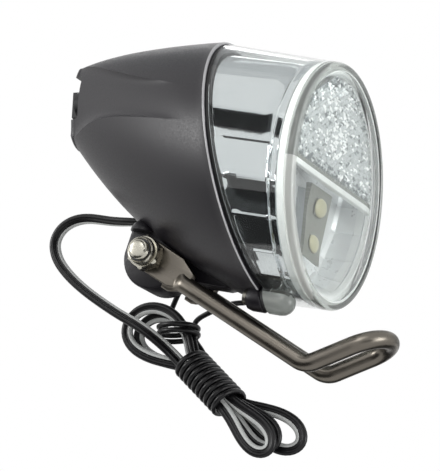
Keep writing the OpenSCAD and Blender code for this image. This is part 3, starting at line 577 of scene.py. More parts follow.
@dataclass
class Studio:
    """Camera at the photograph's angle, pale floor, white surroundings and soft lamps."""

    azimuth: float = 23.72
    elevation: float = -10.78
    roll: float = 12.69
    distance: float = 0.7
    focal: float = 2789.6
    lens_pixel: tuple[float, float] = (339.94, 187.45)
    image: tuple[float, float] = (440.0, 471.0)
    floor_z: float = -0.17
    floor_half: float = 1500.0
    bleach: float = 0.65
    sensor: float = 36.0
    daylight: float = 0.4
    lamp_far: float = 1.2

    def axes(self) -> tuple[Vector, Vector, Vector]:
        """Gives the picture's right, its up and the direction towards the camera."""
        a, e, roll = (math.radians(v) for v in (self.azimuth, self.elevation, self.roll))
        back = Vector((math.sin(a) * math.cos(e), -math.cos(a) * math.cos(e), math.sin(e)))
        level = Vector((math.cos(a), math.sin(a), 0.0))
        up = back.cross(level)
        c, s = math.cos(roll), math.sin(roll)
        return c * level + s * up, c * up - s * level, back

    def build_camera(self) -> None:
        """Sets the camera so that the lens falls on its pixel, without shift."""
        right, up, back = self.axes()
        across = (self.image[0] / 2 - self.lens_pixel[0]) / self.focal
        down = (self.image[1] / 2 - self.lens_pixel[1]) / self.focal
        ahead = (across * right - down * up - back).normalized()
        right = (right - right.dot(ahead) * ahead).normalized()
        up = right.cross(ahead)
        data = bpy.data.cameras.new("camera")
        data.sensor_fit = "HORIZONTAL"
        data.sensor_width = self.sensor
        data.lens = self.sensor * self.focal / self.image[0]
        data.clip_start, data.clip_end = 0.01, 20.0
        camera = bpy.data.objects.new("camera", data)
        turn = Matrix((right, up, -ahead)).transposed().to_4x4()
        camera.matrix_world = Matrix.Translation(LAMP + self.distance * back) @ turn
        bpy.context.scene.collection.objects.link(camera)
        bpy.context.scene.camera = camera

    def seen(self, tree: bpy.types.NodeTree) -> bpy.types.NodeSocket:
        """Tells rays that show a surface from rays that light one.

        Args:
            tree: nodes of the world or of the floor.

        Returns:
            Socket that is 1 for what the eye sees, straight on, in metal or through glass, and else 0.
        """
        path = add_node(tree, "ShaderNodeLightPath", {})
        either = add_node(
            tree, "ShaderNodeMath",
            {0: path.outputs["Is Camera Ray"], 1: path.outputs["Is Glossy Ray"]}, operation="MAXIMUM")
        either = add_node(
            tree, "ShaderNodeMath",
            {0: either.outputs[0], 1: path.outputs["Is Transmission Ray"]}, operation="MAXIMUM")
        return either.outputs[0]

    def build_world(self) -> None:
        """Makes surroundings that the eye sees as white, in metal and glass too, and that light dimly."""
        world = bpy.data.worlds.new("white_room")
        bpy.context.scene.world = world
        world.use_nodes = True
        tree = world.node_tree
        tree.nodes.clear()
        seen = self.seen(tree)
        white = add_node(tree, "ShaderNodeBackground", {"Color": WHITE, "Strength": 1.0})
        plain = add_node(tree, "ShaderNodeBackground", {"Color": WHITE, "Strength": self.daylight})
        both = add_node(
            tree, "ShaderNodeMixShader", {0: seen, 1: plain.outputs[0], 2: white.outputs[0]})
        add_node(tree, "ShaderNodeOutputWorld", {"Surface": both.outputs[0]})

    def build_floor(self) -> None:
        """Lays a pale floor under the part, bleached towards white where the eye sees it."""
        bm = bmesh.new()
        bmesh.ops.create_grid(bm, x_segments=8, y_segments=8, size=self.floor_half)
        bm.transform(Matrix.Translation((0.0, 0.0, self.floor_z)) @ Matrix.Scale(MM, 4))
        floor = add_object("floor", bm)
        paper = Finish(
            "pale_backdrop_paper", "#eeeeec", "#e8e8e6", (0.7, 0.85), 60.0, 2.0, 0.05).material()
        tree = paper.node_tree
        share = add_node(
            tree, "ShaderNodeMath", {0: self.seen(tree), 1: self.bleach}, operation="MULTIPLY")
        white = add_node(tree, "ShaderNodeEmission", {"Color": WHITE, "Strength": 1.0})
        both = add_node(
            tree, "ShaderNodeMixShader",
            {0: share.outputs[0], 1: tree.nodes["Principled BSDF"].outputs[0], 2: white.outputs[0]})
        tree.links.new(both.outputs[0], tree.nodes["Material Output"].inputs["Surface"])
        floor.data.materials.append(paper)

    def build_cards(self) -> None:
        """Hangs cards that only mirrors see, as a photographer does to draw metal."""
        _, up, _ = self.axes()
        black = Finish("black_card", "#1a1a1b", "#161617", (0.85, 0.95), 40.0, 2.0)
        grey = Finish("grey_card", "#d2d4d6", "#c8cacc", (0.85, 0.95), 40.0, 2.0)
        # Way from the lens, distance, half the width and height in metres, and the paper
        spots = (
            (Vector((-0.40, -0.60, -0.69)), 0.22, 0.12, 0.085, black),
            (Vector((-0.40, -0.73, 0.56)), 0.6, 0.16, 0.09, black),
            (Vector((0.75, -0.62, -0.2)), 1.1, 0.35, 0.5, black),
            (Vector((-0.40, 0.40, 0.82)), 0.6, 0.35, 0.2, grey),
            (Vector((0.35, 0.90, 0.27)), 1.1, 0.45, 0.4, grey),
            (Vector((0.0, 0.60, -0.78)), 0.2, 0.16, 0.07, black),
        )
        for i, (way, far, width, height, paper) in enumerate(spots):
            out = way.normalized()
            side = up.cross(out).normalized()
            bm = bmesh.new()
            bmesh.ops.create_grid(bm, x_segments=2, y_segments=2, size=1.0)
            turn = Matrix((side * width, out.cross(side) * height, out)).transposed().to_4x4()
            bm.transform(Matrix.Translation(LAMP + out * far) @ turn)
            card = add_object(f"card_{i}", bm)
            card.data.materials.append(paper.material())
            card.visible_camera = card.visible_diffuse = card.visible_shadow = False

    def build_lamps(self) -> None:
        """Hangs soft lamps above the camera, at both its sides, behind the part and before its lens."""
        right, up, back = self.axes()
        # Name, way from the lens, side in metres and watts
        spots = (
            ("key", 0.8 * back - 0.3 * right + 1.0 * up, 0.7, 4.5),
            ("left", Vector((-0.85, -0.55, 0.1)), 0.4, 6.0),
            ("fill", 0.8 * back + 0.9 * right + 0.1 * up, 0.7, 3.0),
            ("rim", Vector((-0.55, 0.5, 0.75)), 0.6, 3.0),
            ("front", Vector((0.95, -0.1, 0.2)), 0.5, 4.5),
        )
        for name, way, size, power in spots:
            data = bpy.data.lights.new(name, "AREA")
            data.size = size
            data.energy = power
            lamp = bpy.data.objects.new(name, data)
            spot = LAMP + way.normalized() * self.lamp_far
            turn = way.to_track_quat("Z", "Y").to_matrix().to_4x4()
            lamp.matrix_world = Matrix.Translation(spot) @ turn
            bpy.context.scene.collection.objects.link(lamp)

    def build(self) -> None:
        """Builds camera, surroundings, floor, cards and lamps."""
        bpy.context.scene.view_settings.view_transform = "Standard"
        self.build_camera()
        self.build_world()
        self.build_floor()
        self.build_cards()
        self.build_lamps()


@dataclass
class Bullet:
    """The lamp's outline in millimetres: crown and belly curves from rear end to raked seam."""

    rim: float = 32.8
    front: float = -22.8628
    crown_knee: tuple[float, float] = (-66.0, 4.4)
    belly_knee: tuple[float, float] = (-44.0, 5.4)
    rear_x: float = 76.6
    rear_z: float = 10.9
    rear_h: float = 22.4
    rear_w: float = 16.0
    rear_rake: float = 11.0
    rear_round: float = 1.2
    channel_depth: float = 0.28
    channel_end: float = 0.88
    channel_fade: float = 1.4
    channel_flat: int = 6
    crease: float = 0.7
    channel_top: tuple[float, float, float] = (18.0, 68.0, 0.42)
    channel_low: tuple[float, float, float] = (141.0, 80.5, 0.16)
    counts: tuple[int, int, int] = (12, 16, 16)

    def edge(self, u: float, sign: int) -> tuple[float, float]:
        """Gives the crown (sign 1) or belly (sign -1) at a share of the length.

        Args:
            u: 0 at the rear end, 1 at the seam.
            sign: which of the two curves.

        Returns:
            Its place along the lamp and its height.
        """
        lean = math.tan(math.radians(self.rear_rake)) * self.rear_h / 2
        knee, drop = self.crown_knee if sign > 0 else self.belly_knee
        stops = (
            (-self.rear_x - sign * lean, self.rear_z + sign * self.rear_h / 2),
            (knee, sign * (self.rim - drop)),
            (self.front - sign * SEAM_LEAN * self.rim, sign * self.rim))
        shares = ((1 - u) ** 2, 2 * u * (1 - u), u * u)
        x, z = (sum(share * stop[axis] for share, stop in zip(shares, stops)) for axis in (0, 1))
        return x, z

    def point(
            self, u: float, angle: float, inset: float = 0.0, shift: float = 0.0,
            cut: float = 0.0) -> Vector:
        """Gives a point of the skin.

        Args:
            u: share of the length.
            angle: degrees from the crown, positive on the near side.
            inset: how far it lies under the skin.
            shift: move along the lamp.
            cut: share of the width that the side channel takes.

        Returns:
            The point in the lamp's frame.
        """
        (crown_x, crown_z), (belly_x, belly_z) = self.edge(u, 1), self.edge(u, -1)
        half = (crown_z - belly_z) / 2
        squeeze = 1 - inset / half
        width = half * mix(self.rear_w / self.rear_h, 1.0, u) - inset
        a = math.radians(angle)
        return Vector((
            (crown_x + belly_x) / 2 + squeeze * (crown_x - belly_x) / 2 * math.cos(a) + shift,
            -width * math.sin(a) * (1 - cut),
            (crown_z + belly_z) / 2 + squeeze * half * math.cos(a)))

    def span(self, u: float) -> tuple[float, float]:
        """Gives the angles of the channel's creases, which draw together from the rear end."""
        top, low = (
            mix(last, first, math.exp(-u / run))
            for first, last, run in (self.channel_top, self.channel_low))
        return top, low

    def ring(self, u: float, inset: float = 0.0, shift: float = 0.0) -> list[Vector]:
        """Draws a ring of the skin, with points on both creases of the channels.

        Args:
            u: share of the length.
            inset: how far it lies under the skin.
            shift: move along the lamp.

        Returns:
            The ring's points, near side first.
        """
        top, low = self.span(u)
        crown, channel, belly = self.counts
        angles = [(top - self.crease) * i / (crown - 1) for i in range(crown)]
        angles += [mix(top, low, 0.5 - 0.5 * math.cos(math.pi * i / channel)) for i in range(channel)]
        angles += [low] + [mix(low + self.crease, 180.0, i / (belly - 1)) for i in range(belly)]
        depth = self.channel_depth * max(0.0, 1 - u / self.channel_end) ** self.channel_fade
        near = []
        for angle in angles:
            off = (2 * angle - top - low) / (low - top)
            cut = depth * max(0.0, 1 - off ** self.channel_flat)
            near.append(self.point(u, angle, inset, shift, cut))
        return mirrored(near)

    def rear(self) -> Matrix:
        """Gives the frame of the rear end, +Z straight out of it and +X up."""
        return Matrix.Translation((-self.rear_x, 0.0, self.rear_z)) @ Matrix.Rotation(
            math.radians(-90 - self.rear_rake), 4, "Y")


BULLET = Bullet()


@dataclass
class Housing:
    """Dark bullet housing with side channels, a rear recess for the switch and a screw lug."""

    wall: float = 2.2
    steps: int = 44
    recess: tuple[float, float, float] = (12.0, 60.0, 4.7)
    recess_floor: float = -1.522
    recess_up: float = 2.1
    lug_start: float = -14.4
    lug_nose: Pairs = ((0.0, 0.3), (0.25, 0.62), (0.9, 0.88), (2.2, 1.0), (4.2, 1.0))
    lug_foot: Pairs = ((0.47, 0.0), (0.17, 0.25))
    rim_roll: Pairs = ((0.0, -0.55), (0.06, -0.3), (0.25, -0.1), (0.5, -0.08))
    end_insets: tuple[float, ...] = (3.2, 2.0)
    end_wall: float = 4.0
    highlight_back: float = 0.5
    highlight_deep: float = 0.42
    highlight_low: float = -31.0

    def shell(self) -> Mesh:
        """Lofts the wall: outside from rear to seam, a rounded rim, and back inside.

        Returns:
            The closed mesh.
        """
        r = BULLET.rear_round
        rings = [BULLET.ring(0.0, inset, -r) for inset in self.end_insets]
        rings += [
            BULLET.ring(0.0, r * (1 - math.cos(a)), -r * math.sin(a))
            for a in (math.radians(v) for v in (90, 70, 50, 30, 15))]
        rings += [BULLET.ring(i / self.steps) for i in range(self.steps)]
        rings += [BULLET.ring(1.0, *stop) for stop in self.rim_roll]
        rings += [BULLET.ring(1.0, self.wall, self.rim_roll[-1][1])]
        rings += [BULLET.ring(i / 12, self.wall) for i in range(11, 1, -1)]
        rings += [BULLET.ring(0.0, self.wall, self.end_wall)]
        return lofted(rings)

    def recess_tool(self) -> Mesh:
        """Makes the rounded block that cuts the recess across the rear end."""
        bm = bmesh.new()
        add_block(bm, self.recess)
        soften(bm, bm.edges[:], 0.9, 4)
        bm.transform(BULLET.rear() @ Matrix.Translation(
            (self.recess_up, 0.0, self.recess_floor + self.recess[2] / 2)))
        return bm

    def add_lug(self, bm: Mesh) -> None:
        """Lofts the lug that carries the cap's screw, cut off at the raked seam.

        Args:
            bm: mesh that gets the lug.
        """
        foot = BULLET.front - SEAM_LEAN * SCREW_AT.z
        rings = [
            ring_at(SCREW_AT + (self.lug_start + x) * AHEAD, SCREW_R * size, 40)
            for x, size in self.lug_nose]
        rings += [
            ring_at(SCREW_AT + (foot - gap) * AHEAD, SCREW_R - inset, 40, SEAM_LEAN)
            for gap, inset in self.lug_foot]
        loft(bm, rings)

    def build(self) -> None:
        """Builds the housing in place of its CAD node."""
        bm = combine(self.shell(), self.recess_tool(), Combine.CUT)
        shell = set(bm.faces)
        self.add_lug(bm)
        for face in set(bm.faces) - shell:
            face.material_index = 2
        # Painted highlight: faces on the outer rim just behind the seam, down to a given height, get the
        # light grey rim finish
        for face in shell:
            middle = face.calc_center_median()
            ahead = middle.x - BULLET.front + SEAM_LEAN * middle.z > -self.highlight_back
            outside = math.hypot(middle.y, middle.z) > BULLET.rim - self.highlight_deep
            if ahead and outside and middle.z > self.highlight_low:
                face.material_index = 1
        place(
            "housing_shell", bm, [HOUSING_ABS, RIM_PAINTED_HIGHLIGHT, LUG_NYLON], Carrier.LAMP, "housing_grey",
            ["housing"], sharp=25.0)


@dataclass
class FrontCap:
    """Clear cap: raked lens with a rounded edge, cone wall and a round screw tab."""

    lens_r: float = 31.0
    taper: float = 0.0371
    wall: float = 1.1
    lens_t: float = 2.2
    edge: float = 1.1
    band: float = -2.4
    seam: float = -22.0
    edge_r: float = 29.2
    painted_light_y: float = -17.0
    painted_light_run: float = 6.0
    tab_front: float = 7.5
    tab_top: float = -30.8

    def ring(self, x: float, lean: float, inset: float) -> list[Vector]:
        """Draws a ring of the cone on a leaning plane.

        Args:
            x: where the plane crosses the axis.
            lean: the plane's slope, how far it goes back for each unit of height.
            inset: how far the ring lies inside the cone.

        Returns:
            The ring's points.
        """
        ring = []
        for cos, sin in circle(1.0, 120):
            r = (self.lens_r - inset - self.taper * x) / (1 - self.taper * lean * cos)
            r = 0.0 if inset >= self.lens_r else max(0.0, r)
            ring.append(Vector((x - lean * r * cos, -r * sin, r * cos)))
        return ring

    def shell(self) -> Mesh:
        """Lofts the wall outside, over the lens and back inside.

        Returns:
            The closed mesh.
        """
        outside = [
            (mix(self.seam, self.band, i / 10), mix(SEAM_LEAN, LENS_LEAN, i / 10), 0.0) for i in range(11)]
        outside += [(mix(self.band, -self.edge, t), LENS_LEAN, 0.0) for t in (0.5, 1.0)]
        outside += [
            (-self.edge * (1 - math.sin(a)), LENS_LEAN, self.edge * (1 - math.cos(a)))
            for a in (math.radians(v) for v in (22, 45, 67, 90))]
        outside += [(0.0, LENS_LEAN, self.lens_r - r) for r in (29.0, 20.0, 10.0, 0.0)]
        back = -self.lens_t / math.cos(LENS_RAKE)
        inside = [(back, LENS_LEAN, self.lens_r - r) for r in (0.0, 10.0, 20.0, 27.8)]
        inside += [(back - 0.5, LENS_LEAN, self.wall + 0.25), (back - 1.2, LENS_LEAN, self.wall)]
        inside += [
            (mix(back - 1.2, self.seam, i / 8), mix(LENS_LEAN, SEAM_LEAN, i / 8), self.wall)
            for i in range(1, 9)]
        return lofted([self.ring(*stop) for stop in outside + inside], ring_shaped=True)

    def tab(self) -> Mesh:
        """Lofts the round-ended tab that takes the screw.

        Returns:
            The closed mesh.
        """
        foot = SCREW_AT + (self.seam - SEAM_LEAN * SCREW_AT.z) * AHEAD
        rings = [ring_at(foot, SCREW_R, 40, SEAM_LEAN)]
        for t in (math.radians(v) for v in (0, 20, 40, 60, 75, 86)):
            ahead = self.tab_front - SCREW_R * (1 - math.sin(t))
            rings.append(ring_at(foot + ahead * AHEAD, SCREW_R * math.cos(t), 40))
        return lofted(rings)

    def build(self) -> None:
        """Builds the cap in place of its CAD node."""
        bm = combine(self.shell(), self.tab(), Combine.UNION)
        for face in bm.faces:
            middle = face.calc_center_median()
            reach = math.hypot(middle.y, middle.z) - self.edge_r
            # Painted shade: the outer edge of the lens, and the tab, get the grey edge finish
            edge = middle.x + LENS_LEAN * middle.z > self.band and reach > 0.0
            off = (middle - SCREW_AT).yz.length
            tab = off < SCREW_R + 0.1 and middle.z < self.tab_top
            # Painted light: the near lower part of the edge, below the bar, gets the paler finish
            pale = edge and not tab and middle.z < 0.5 and middle.y < self.painted_light_run * reach + self.painted_light_y
            face.material_index = 2 if pale else int(edge or tab)
        cap = place(
            "clear_front_cap", bm, [CLEAR_CAP, LENS_EDGE_PAINTED_SHADE, LENS_EDGE_PAINTED_LIGHT], Carrier.LAMP, "clear_cap",
            ["front_cap"], sharp=32.0)
        cap.visible_shadow = False


@dataclass
class Reflector:
    """Chromed sleeve: smooth above, fluted below, with a bowl behind the window and a shelf."""

    radius: float = 29.7
    wall: float = 1.2
    front: float = -5.0
    bowl: float = -13.0
    bowl_floor: float = 14.0
    flute: float = 0.64
    ridges: tuple[float, ...] = (85.0, 103.0, 120.5, 139.0, 155.0, 168.0, 180.0)
    crown_steps: int = 22
    panel: tuple[float, ...] = (0.05, 0.12, 0.3, 0.5, 0.7, 0.88, 0.95)
    panel_bow: float = 0.6
    rib: float = 2.3
    # Steps of the front lip: along from the front, out from the sleeve, depth of the flutes
    lip: tuple[tuple[float, float, float], ...] = (
        (-2.2, 0.16, 0.0), (-1.95, 0.2, 0.0), (-1.8, -0.1, 0.1), (-1.6, -0.25, 0.384),
        (-0.2, -0.25, 0.384), (0.0, -0.4, 0.0), (0.0, -0.8, 0.0), (-0.3, -1.2, 0.3))
    shelf_z: float = 1.6

    def angles(self) -> list[tuple[float, float]]:
        """Lists angles from the crown down one side, each with its share of the flute's depth."""
        stops = [(self.ridges[0] * i / self.crown_steps, 0.0) for i in range(self.crown_steps)]
        for a, b in zip(self.ridges, self.ridges[1:]):
            stops += [(a, 0.0)]
            stops += [(mix(a, b, f), 1 - self.panel_bow * (2 * f - 1) ** 2) for f in self.panel]
        return stops + [(180.0, 0.0)]

    def ring(self, x: float, lean: float, radius: float, depth: float) -> list[Vector]:
        """Draws a ring of the sleeve on a leaning plane.

        Args:
            x: where the plane crosses the axis.
            lean: the plane's slope.
            radius: the sleeve's radius.
            depth: depth of the flutes.

        Returns:
            The ring's points, near side first.
        """
        near = []
        for angle, share in self.angles():
            r = radius - depth * share
            a = math.radians(angle)
            near.append(Vector((x - lean * r * math.cos(a), -r * math.sin(a), r * math.cos(a))))
        return mirrored(near)

    def build(self) -> None:
        """Builds sleeve, bowl and shelf in place of the CAD node."""
        back = BULLET.front - self.wall
        fluted = back + 1.5
        stops = [(x, SEAM_LEAN, self.radius, 0.0) for x in (back, fluted)]
        stops += [
            (mix(fluted, self.front - self.rib, t), mix(SEAM_LEAN, LENS_LEAN, t), self.radius,
             self.flute * min(1.0, t * 4))
            for t in (0.06, 0.12, 0.18, 0.25, 0.4, 0.55, 0.7, 0.85, 0.97)]
        stops += [(self.front + x, LENS_LEAN, self.radius + out, depth) for x, out, depth in self.lip]
        bowl_from = len(stops)
        inner = self.radius - self.wall
        stops += [
            (mix(self.front, self.bowl, t), mix(LENS_LEAN, 0.0, t), inner, self.flute)
            for t in (0.3, 0.6, 0.9)]
        floor = ((inner - 1.0, 0.5), (self.bowl_floor, 0.0), (0.0, 0.0))
        stops += [(self.bowl, 0.0, *step) for step in floor]
        rear = self.bowl - self.wall
        stops += [(rear, 0.0, *step) for step in floor[::-1]]
        stops += [(mix(rear, back, t), mix(0.0, SEAM_LEAN, t), inner - 0.2, 0.3) for t in (0.3, 1.0)]
        bm = bmesh.new()
        bands = loft(bm, [self.ring(*stop) for stop in stops], ring_shaped=True)
        for i, band in enumerate(bands[bowl_from - 1:bowl_from + 5]):
            for face in band:
                face.material_index = 2 if i == 0 else 1
        add_block(
            bm, (self.front - self.bowl - 0.4, 2 * inner - 0.6, self.wall),
            ((self.front + self.bowl) / 2 - 0.3, 0.0, self.shelf_z - self.wall / 2))
        place(
            "chrome_reflector", bm, [CHROME, BOWL_SATIN, FROSTED_RIB], Carrier.LAMP, "reflector_chrome",
            ["reflector"], sharp=24.0)


@dataclass
class PrismPanel:
    """Half-round prism sheet behind the upper part of the lens."""

    radius: float = 27.6
    low: float = 1.7
    front: float = -2.55
    thickness: float = 1.5
    pitch: float = 1.2
    rise: float = 0.4
    turn: float = 30.0
    jitter: float = 0.22
    glint_at: tuple[float, float] = (-2.0, 13.0)
    glint_r: float = 14.0
    glint_threshold: tuple[float, float] = (0.58, 0.9)
    painted_shade_share: tuple[float, float] = (0.1, 0.4)
    border: tuple[float, float] = (2.6, 2.2)

    def facet(self, i: int, tip: Vector) -> int:
        """Chooses a facet's finish: painted glints gather in the sheet's middle, and painted shade falls more
        often near its edges.

        Args:
            i: the facet's number.
            tip: its pyramid's tip, across and up the sheet.

        Returns:
            Number of the finish: 0 plain, 1 painted glint, 2 painted shade.
        """
        # A fixed hash of the number in place of a random draw
        chance = math.sin(12.9898 * i) * 43758.5453 % 1.0
        off = math.hypot(tip.x - self.glint_at[0], tip.y - self.glint_at[1]) / self.glint_r
        if chance > mix(*self.glint_threshold, min(1.0, off)):
            return 1
        # Painted shade is more likely on facets near the rim and the low edge
        edge = tip.xy.length > self.radius - self.border[0] or tip.y < self.low + self.border[1]
        return 2 if chance < self.painted_shade_share[edge] else 0

    def build(self) -> None:
        """Builds the sheet of small pyramids in place of its CAD node."""
        bm = bmesh.new()
        cells = int(2 * self.radius / self.pitch)
        bmesh.ops.create_grid(bm, x_segments=cells, y_segments=cells, size=cells * self.pitch / 2)
        bm.transform(Matrix.Rotation(math.radians(self.turn), 4, "Z"))
        middles = [(f, f.calc_center_median()) for f in bm.faces]
        outside = [f for f, m in middles if m.length > self.radius - 0.6 or m.y < self.low + 0.5]
        bmesh.ops.delete(bm, geom=outside, context="FACES")
        faces = bm.faces[:]
        rim = [e for e in bm.edges if e.is_boundary]
        made = bmesh.ops.extrude_edge_only(bm, edges=rim)["geom"]
        back = [v for v in made if isinstance(v, bmesh.types.BMVert)]
        bmesh.ops.translate(bm, vec=(0.0, 0.0, -self.thickness), verts=back)
        bmesh.ops.edgeloop_fill(bm, edges=[e for e in bm.edges if e.is_boundary])
        bmesh.ops.translate(
            bm, vec=(0.0, 0.0, -self.rise), verts=list({v for f in faces for v in f.verts}))
        tips = bmesh.ops.poke(bm, faces=faces, offset=self.rise, center_mode="MEAN")["verts"]
        for i, tip in enumerate(tips):
            for side, face in enumerate(tip.link_faces):
                face.material_index = self.facet(4 * i + side, tip.co)
            sway = Vector((math.sin(12.9 * i), math.cos(7.3 * i), 0.7 * math.sin(4.1 * i)))
            tip.co += self.jitter * self.pitch * sway
        for vert in bm.verts:
            across, height, out = vert.co
            vert.co = Vector((self.front + out - LENS_LEAN * height, across, height))
        place(
            "prism_sheet", bm, [PRISM_SILVER, PRISM_PAINTED_GLINT, PRISM_PAINTED_SHADE], Carrier.LAMP, "clear_prism",
            ["prism_panel"], sharp=5.0)


@dataclass
class LensFrame:
    """Pale ribs behind the lens: a ring round the edge and a bar between prisms and window."""

    outer: float = 29.6
    inner: float = 27.7
    front: float = -2.5
    back: float = -4.7
    bar_low: float = -0.9
    bar_high: float = 1.5
    bar_shade_from: float = 0.4

    def build(self) -> None:
        """Builds ring and bar as one moulding that fills the space between lens and reflector."""
        stops = (
            (self.front, self.inner + 0.5), (self.front, self.outer), (self.back, self.outer - 0.2),
            (self.back, self.inner), (self.front - 1.1, self.inner))
        ring = lofted([ring_at(x * AHEAD, r, 96, LENS_LEAN) for x, r in stops], ring_shaped=True)
        bar = bmesh.new()
        add_block(
            bar, (self.front - self.back - 0.2, 2 * self.inner + 1.0, self.bar_high - self.bar_low),
            ((self.front + self.back) / 2, 0.0, (self.bar_high + self.bar_low) / 2))
        soften(bar, bar.edges[:], 0.25, 2)
        bmesh.ops.bisect_plane(
            bar, geom=bar.verts[:] + bar.edges[:] + bar.faces[:], plane_co=(0.0, 0.0, self.bar_shade_from),
            plane_no=(0.0, 0.0, 1.0))
        bm = combine(ring, bar, Combine.UNION)
        # Painted shade: the bar's forward faces above the bisect line get the grey finish
        for face in bm.faces:
            middle = face.calc_center_median()
            slot = self.bar_shade_from < middle.z < self.bar_high and middle.yz.length < self.inner
            face.material_index = int(slot and face.normal.x > 0.5)
        ribs = place("lens_ribs", bm, [FROSTED_RIB, SLOT_PAINTED_SHADE], Carrier.LAMP, "clear_cap", sharp=30.0)
        ribs.visible_shadow = False


@dataclass
class Emitters:
    """Two light emitters: a ceramic frame with a pale yellow dome each."""

    face: float = -6.0
    middle: float = -10.9
    pitch: float = 9.4
    side: float = 4.2
    depth: float = 0.7
    widen: float = 1.4
    dome: Pairs = ((0.5, 2.4), (0.75, 2.4), (1.1, 2.15), (1.4, 1.5), (1.55, 0.7))

    def build(self) -> None:
        """Builds both emitters in place of their CAD node."""
        bm = bmesh.new()
        for end in (-1, 1):
            spot = Vector((self.face, 0.0, self.middle + end * self.pitch / 2))
            corners = add_block(
                bm, (self.depth, self.side, self.side), spot + self.depth / 2 * AHEAD)
            soften(bm, list({e for v in corners for e in v.link_edges}), 0.12, 2)
            rings = [
                [spot + Vector((x, self.widen * a, b)) for a, b in circle(r, 24)] for x, r in self.dome]
            before = set(bm.faces)
            loft(bm, rings)
            for f in set(bm.faces) - before:
                f.material_index = 1
        place("light_emitters", bm, [CERAMIC_PAINTED_SHADE, PHOSPHOR], Carrier.LAMP, "led_phosphor", ["led_emitters"])


@dataclass
class Bracket:
    """Steel wire bent double: two legs, an eye for the fork crown bolt and flattened ends."""

    wire: float = 4.6
    pitch: float = 14.6
    leg: float = 52.9
    leg_slope: float = 21.8
    eye_reach: float = 12.6
    eye_slope: float = 31.0
    bend_r: float = 5.0
    tab_w: float = 8.3
    tab_t: float = 2.3
    tab_reach: float = 11.5
    tab_tail: float = 2.5
    tab_taper: float = 10.0
    flat_end: float = 2.4
    flat_run: float = 2.8
    neck: tuple[float, ...] = (4.0, 3.0, 1.8, 0.4, -0.6, -1.6)
    bend_from: float = 7.0
    hole: float = 5.4

    def ways(self) -> tuple[Vector, Vector]:
        """Gives the place of the lower bend and the way up the leg."""
        e, s = math.radians(self.eye_slope), math.radians(self.leg_slope)
        return (
            self.eye_reach * Vector((-math.cos(e), 0.0, -math.sin(e))),
            Vector((-math.cos(s), 0.0, math.sin(s))))

    def side_path(self, side: int) -> list[Vector]:
        """Draws one leg from its tab down and round the bend.

        Args:
            side: 1 or -1 across the lamp.

        Returns:
            Points along the wire.
        """
        bend, way = self.ways()
        half = (180 - self.leg_slope - self.eye_slope) / 2
        turn = math.radians((180 - self.leg_slope + self.eye_slope) / 2)
        out = Vector((math.cos(turn), 0.0, math.sin(turn)))
        centre = bend + self.bend_r / math.sin(math.radians(half)) * out
        shift = Vector((0.0, side * self.pitch / 2, 0.0))
        top = self.leg - self.tab_reach
        path = [bend + (top + up) * way for up in self.neck]
        path += [bend + mix(top + self.neck[-1], self.bend_from, i / 8) * way for i in range(1, 9)]
        for i in range(15):
            a = math.radians(-90 - self.leg_slope + (self.leg_slope + self.eye_slope) * i / 14)
            path.append(centre + self.bend_r * Vector((math.cos(a), 0.0, math.sin(a))))
        return [p + shift for p in path]

    def build_wire(self) -> Mesh:
        """Sweeps the wire from one tab to the other, flattening it towards both.

        Returns:
            The closed mesh.
        """
        e = math.radians(self.eye_slope)
        eye = [
            self.pitch / 2 * Vector((math.cos(a) * math.cos(e), math.sin(a), math.cos(a) * math.sin(e)))
            for a in (math.radians(-90 + 180 * i / 32) for i in range(33))]
        path = self.side_path(-1) + eye + self.side_path(1)[::-1]
        whole = path_length(path)

        def section(share: float) -> Outline:
            """Gives the wire's outline: round, and flat near its ends."""
            gone = min(share, 1 - share) * whole
            flat = 1 - min(1.0, max(0.0, (gone - self.flat_end) / self.flat_run))
            flat = flat * flat * (3 - 2 * flat)
            wide, thin = (
                mix(self.wire, end, flat) / 2 for end in (self.tab_w - 0.8, self.tab_t - 0.5))
            return [(wide * a, thin * b) for a, b in circle(1.0, 28)]

        s = math.radians(self.leg_slope)
        return lofted(sweep(path, Vector((math.sin(s), 0.0, math.cos(s))), section))

    def build_tab(self, bm: Mesh, side: int) -> None:
        """Adds one flattened end: a plate with a round end and the bolt's hole.

        Args:
            bm: mesh that gets the plate.
            side: 1 or -1 across the lamp.
        """
        before = set(bm.verts)
        rim = bmesh.ops.create_circle(bm, cap_ends=False, segments=48, radius=self.tab_w / 2)["verts"]
        hole = bmesh.ops.create_circle(bm, cap_ends=False, segments=48, radius=self.hole / 2)["verts"]
        for vert in rim:
            if vert.co.x > 1e-4:
                wide = abs(vert.co.y) / self.tab_w * 2
                vert.co.x = self.tab_reach + self.tab_tail - self.tab_taper * max(0.0, wide - 0.5)
        edges = list({e for v in rim + hole for e in v.link_edges})
        faces = bmesh.ops.bridge_loops(bm, edges=edges)["faces"]
        lifted = bmesh.ops.extrude_face_region(bm, geom=faces)["geom"]
        lifted = [v for v in lifted if isinstance(v, bmesh.types.BMVert)]
        bmesh.ops.translate(bm, vec=(0.0, 0.0, self.tab_t), verts=lifted)
        fresh = [v for v in bm.verts if v not in before]
        sharp = [e for e in {e for v in fresh for e in v.link_edges} if e.calc_face_angle(0.0) > 0.7]
        soften(bm, sharp, 0.3, 3)
        fresh = [v for v in bm.verts if v not in before]
        pivot = PIVOT / MM
        spot = Vector((pivot.x, side * self.pitch / 2, pivot.z))
        turn = Matrix.Rotation(math.radians(90), 4, "X")
        turn = turn @ Matrix.Rotation(math.radians(-self.leg_slope), 4, "Z")
        middle = Matrix.Translation((0.0, 0.0, -self.tab_t / 2))
        bmesh.ops.transform(bm, matrix=Matrix.Translation(spot) @ turn @ middle, verts=fresh)

    def build(self) -> None:
        """Builds the bracket in place of its CAD node."""
        bm = self.build_wire()
        for side in (-1, 1):
            self.build_tab(bm, side)
        place(
            "steel_bracket", bm, [BRACKET_STEEL], Carrier.BRACKET, "bracket_steel", ["bracket_wire"],
            EYE, 40.0)


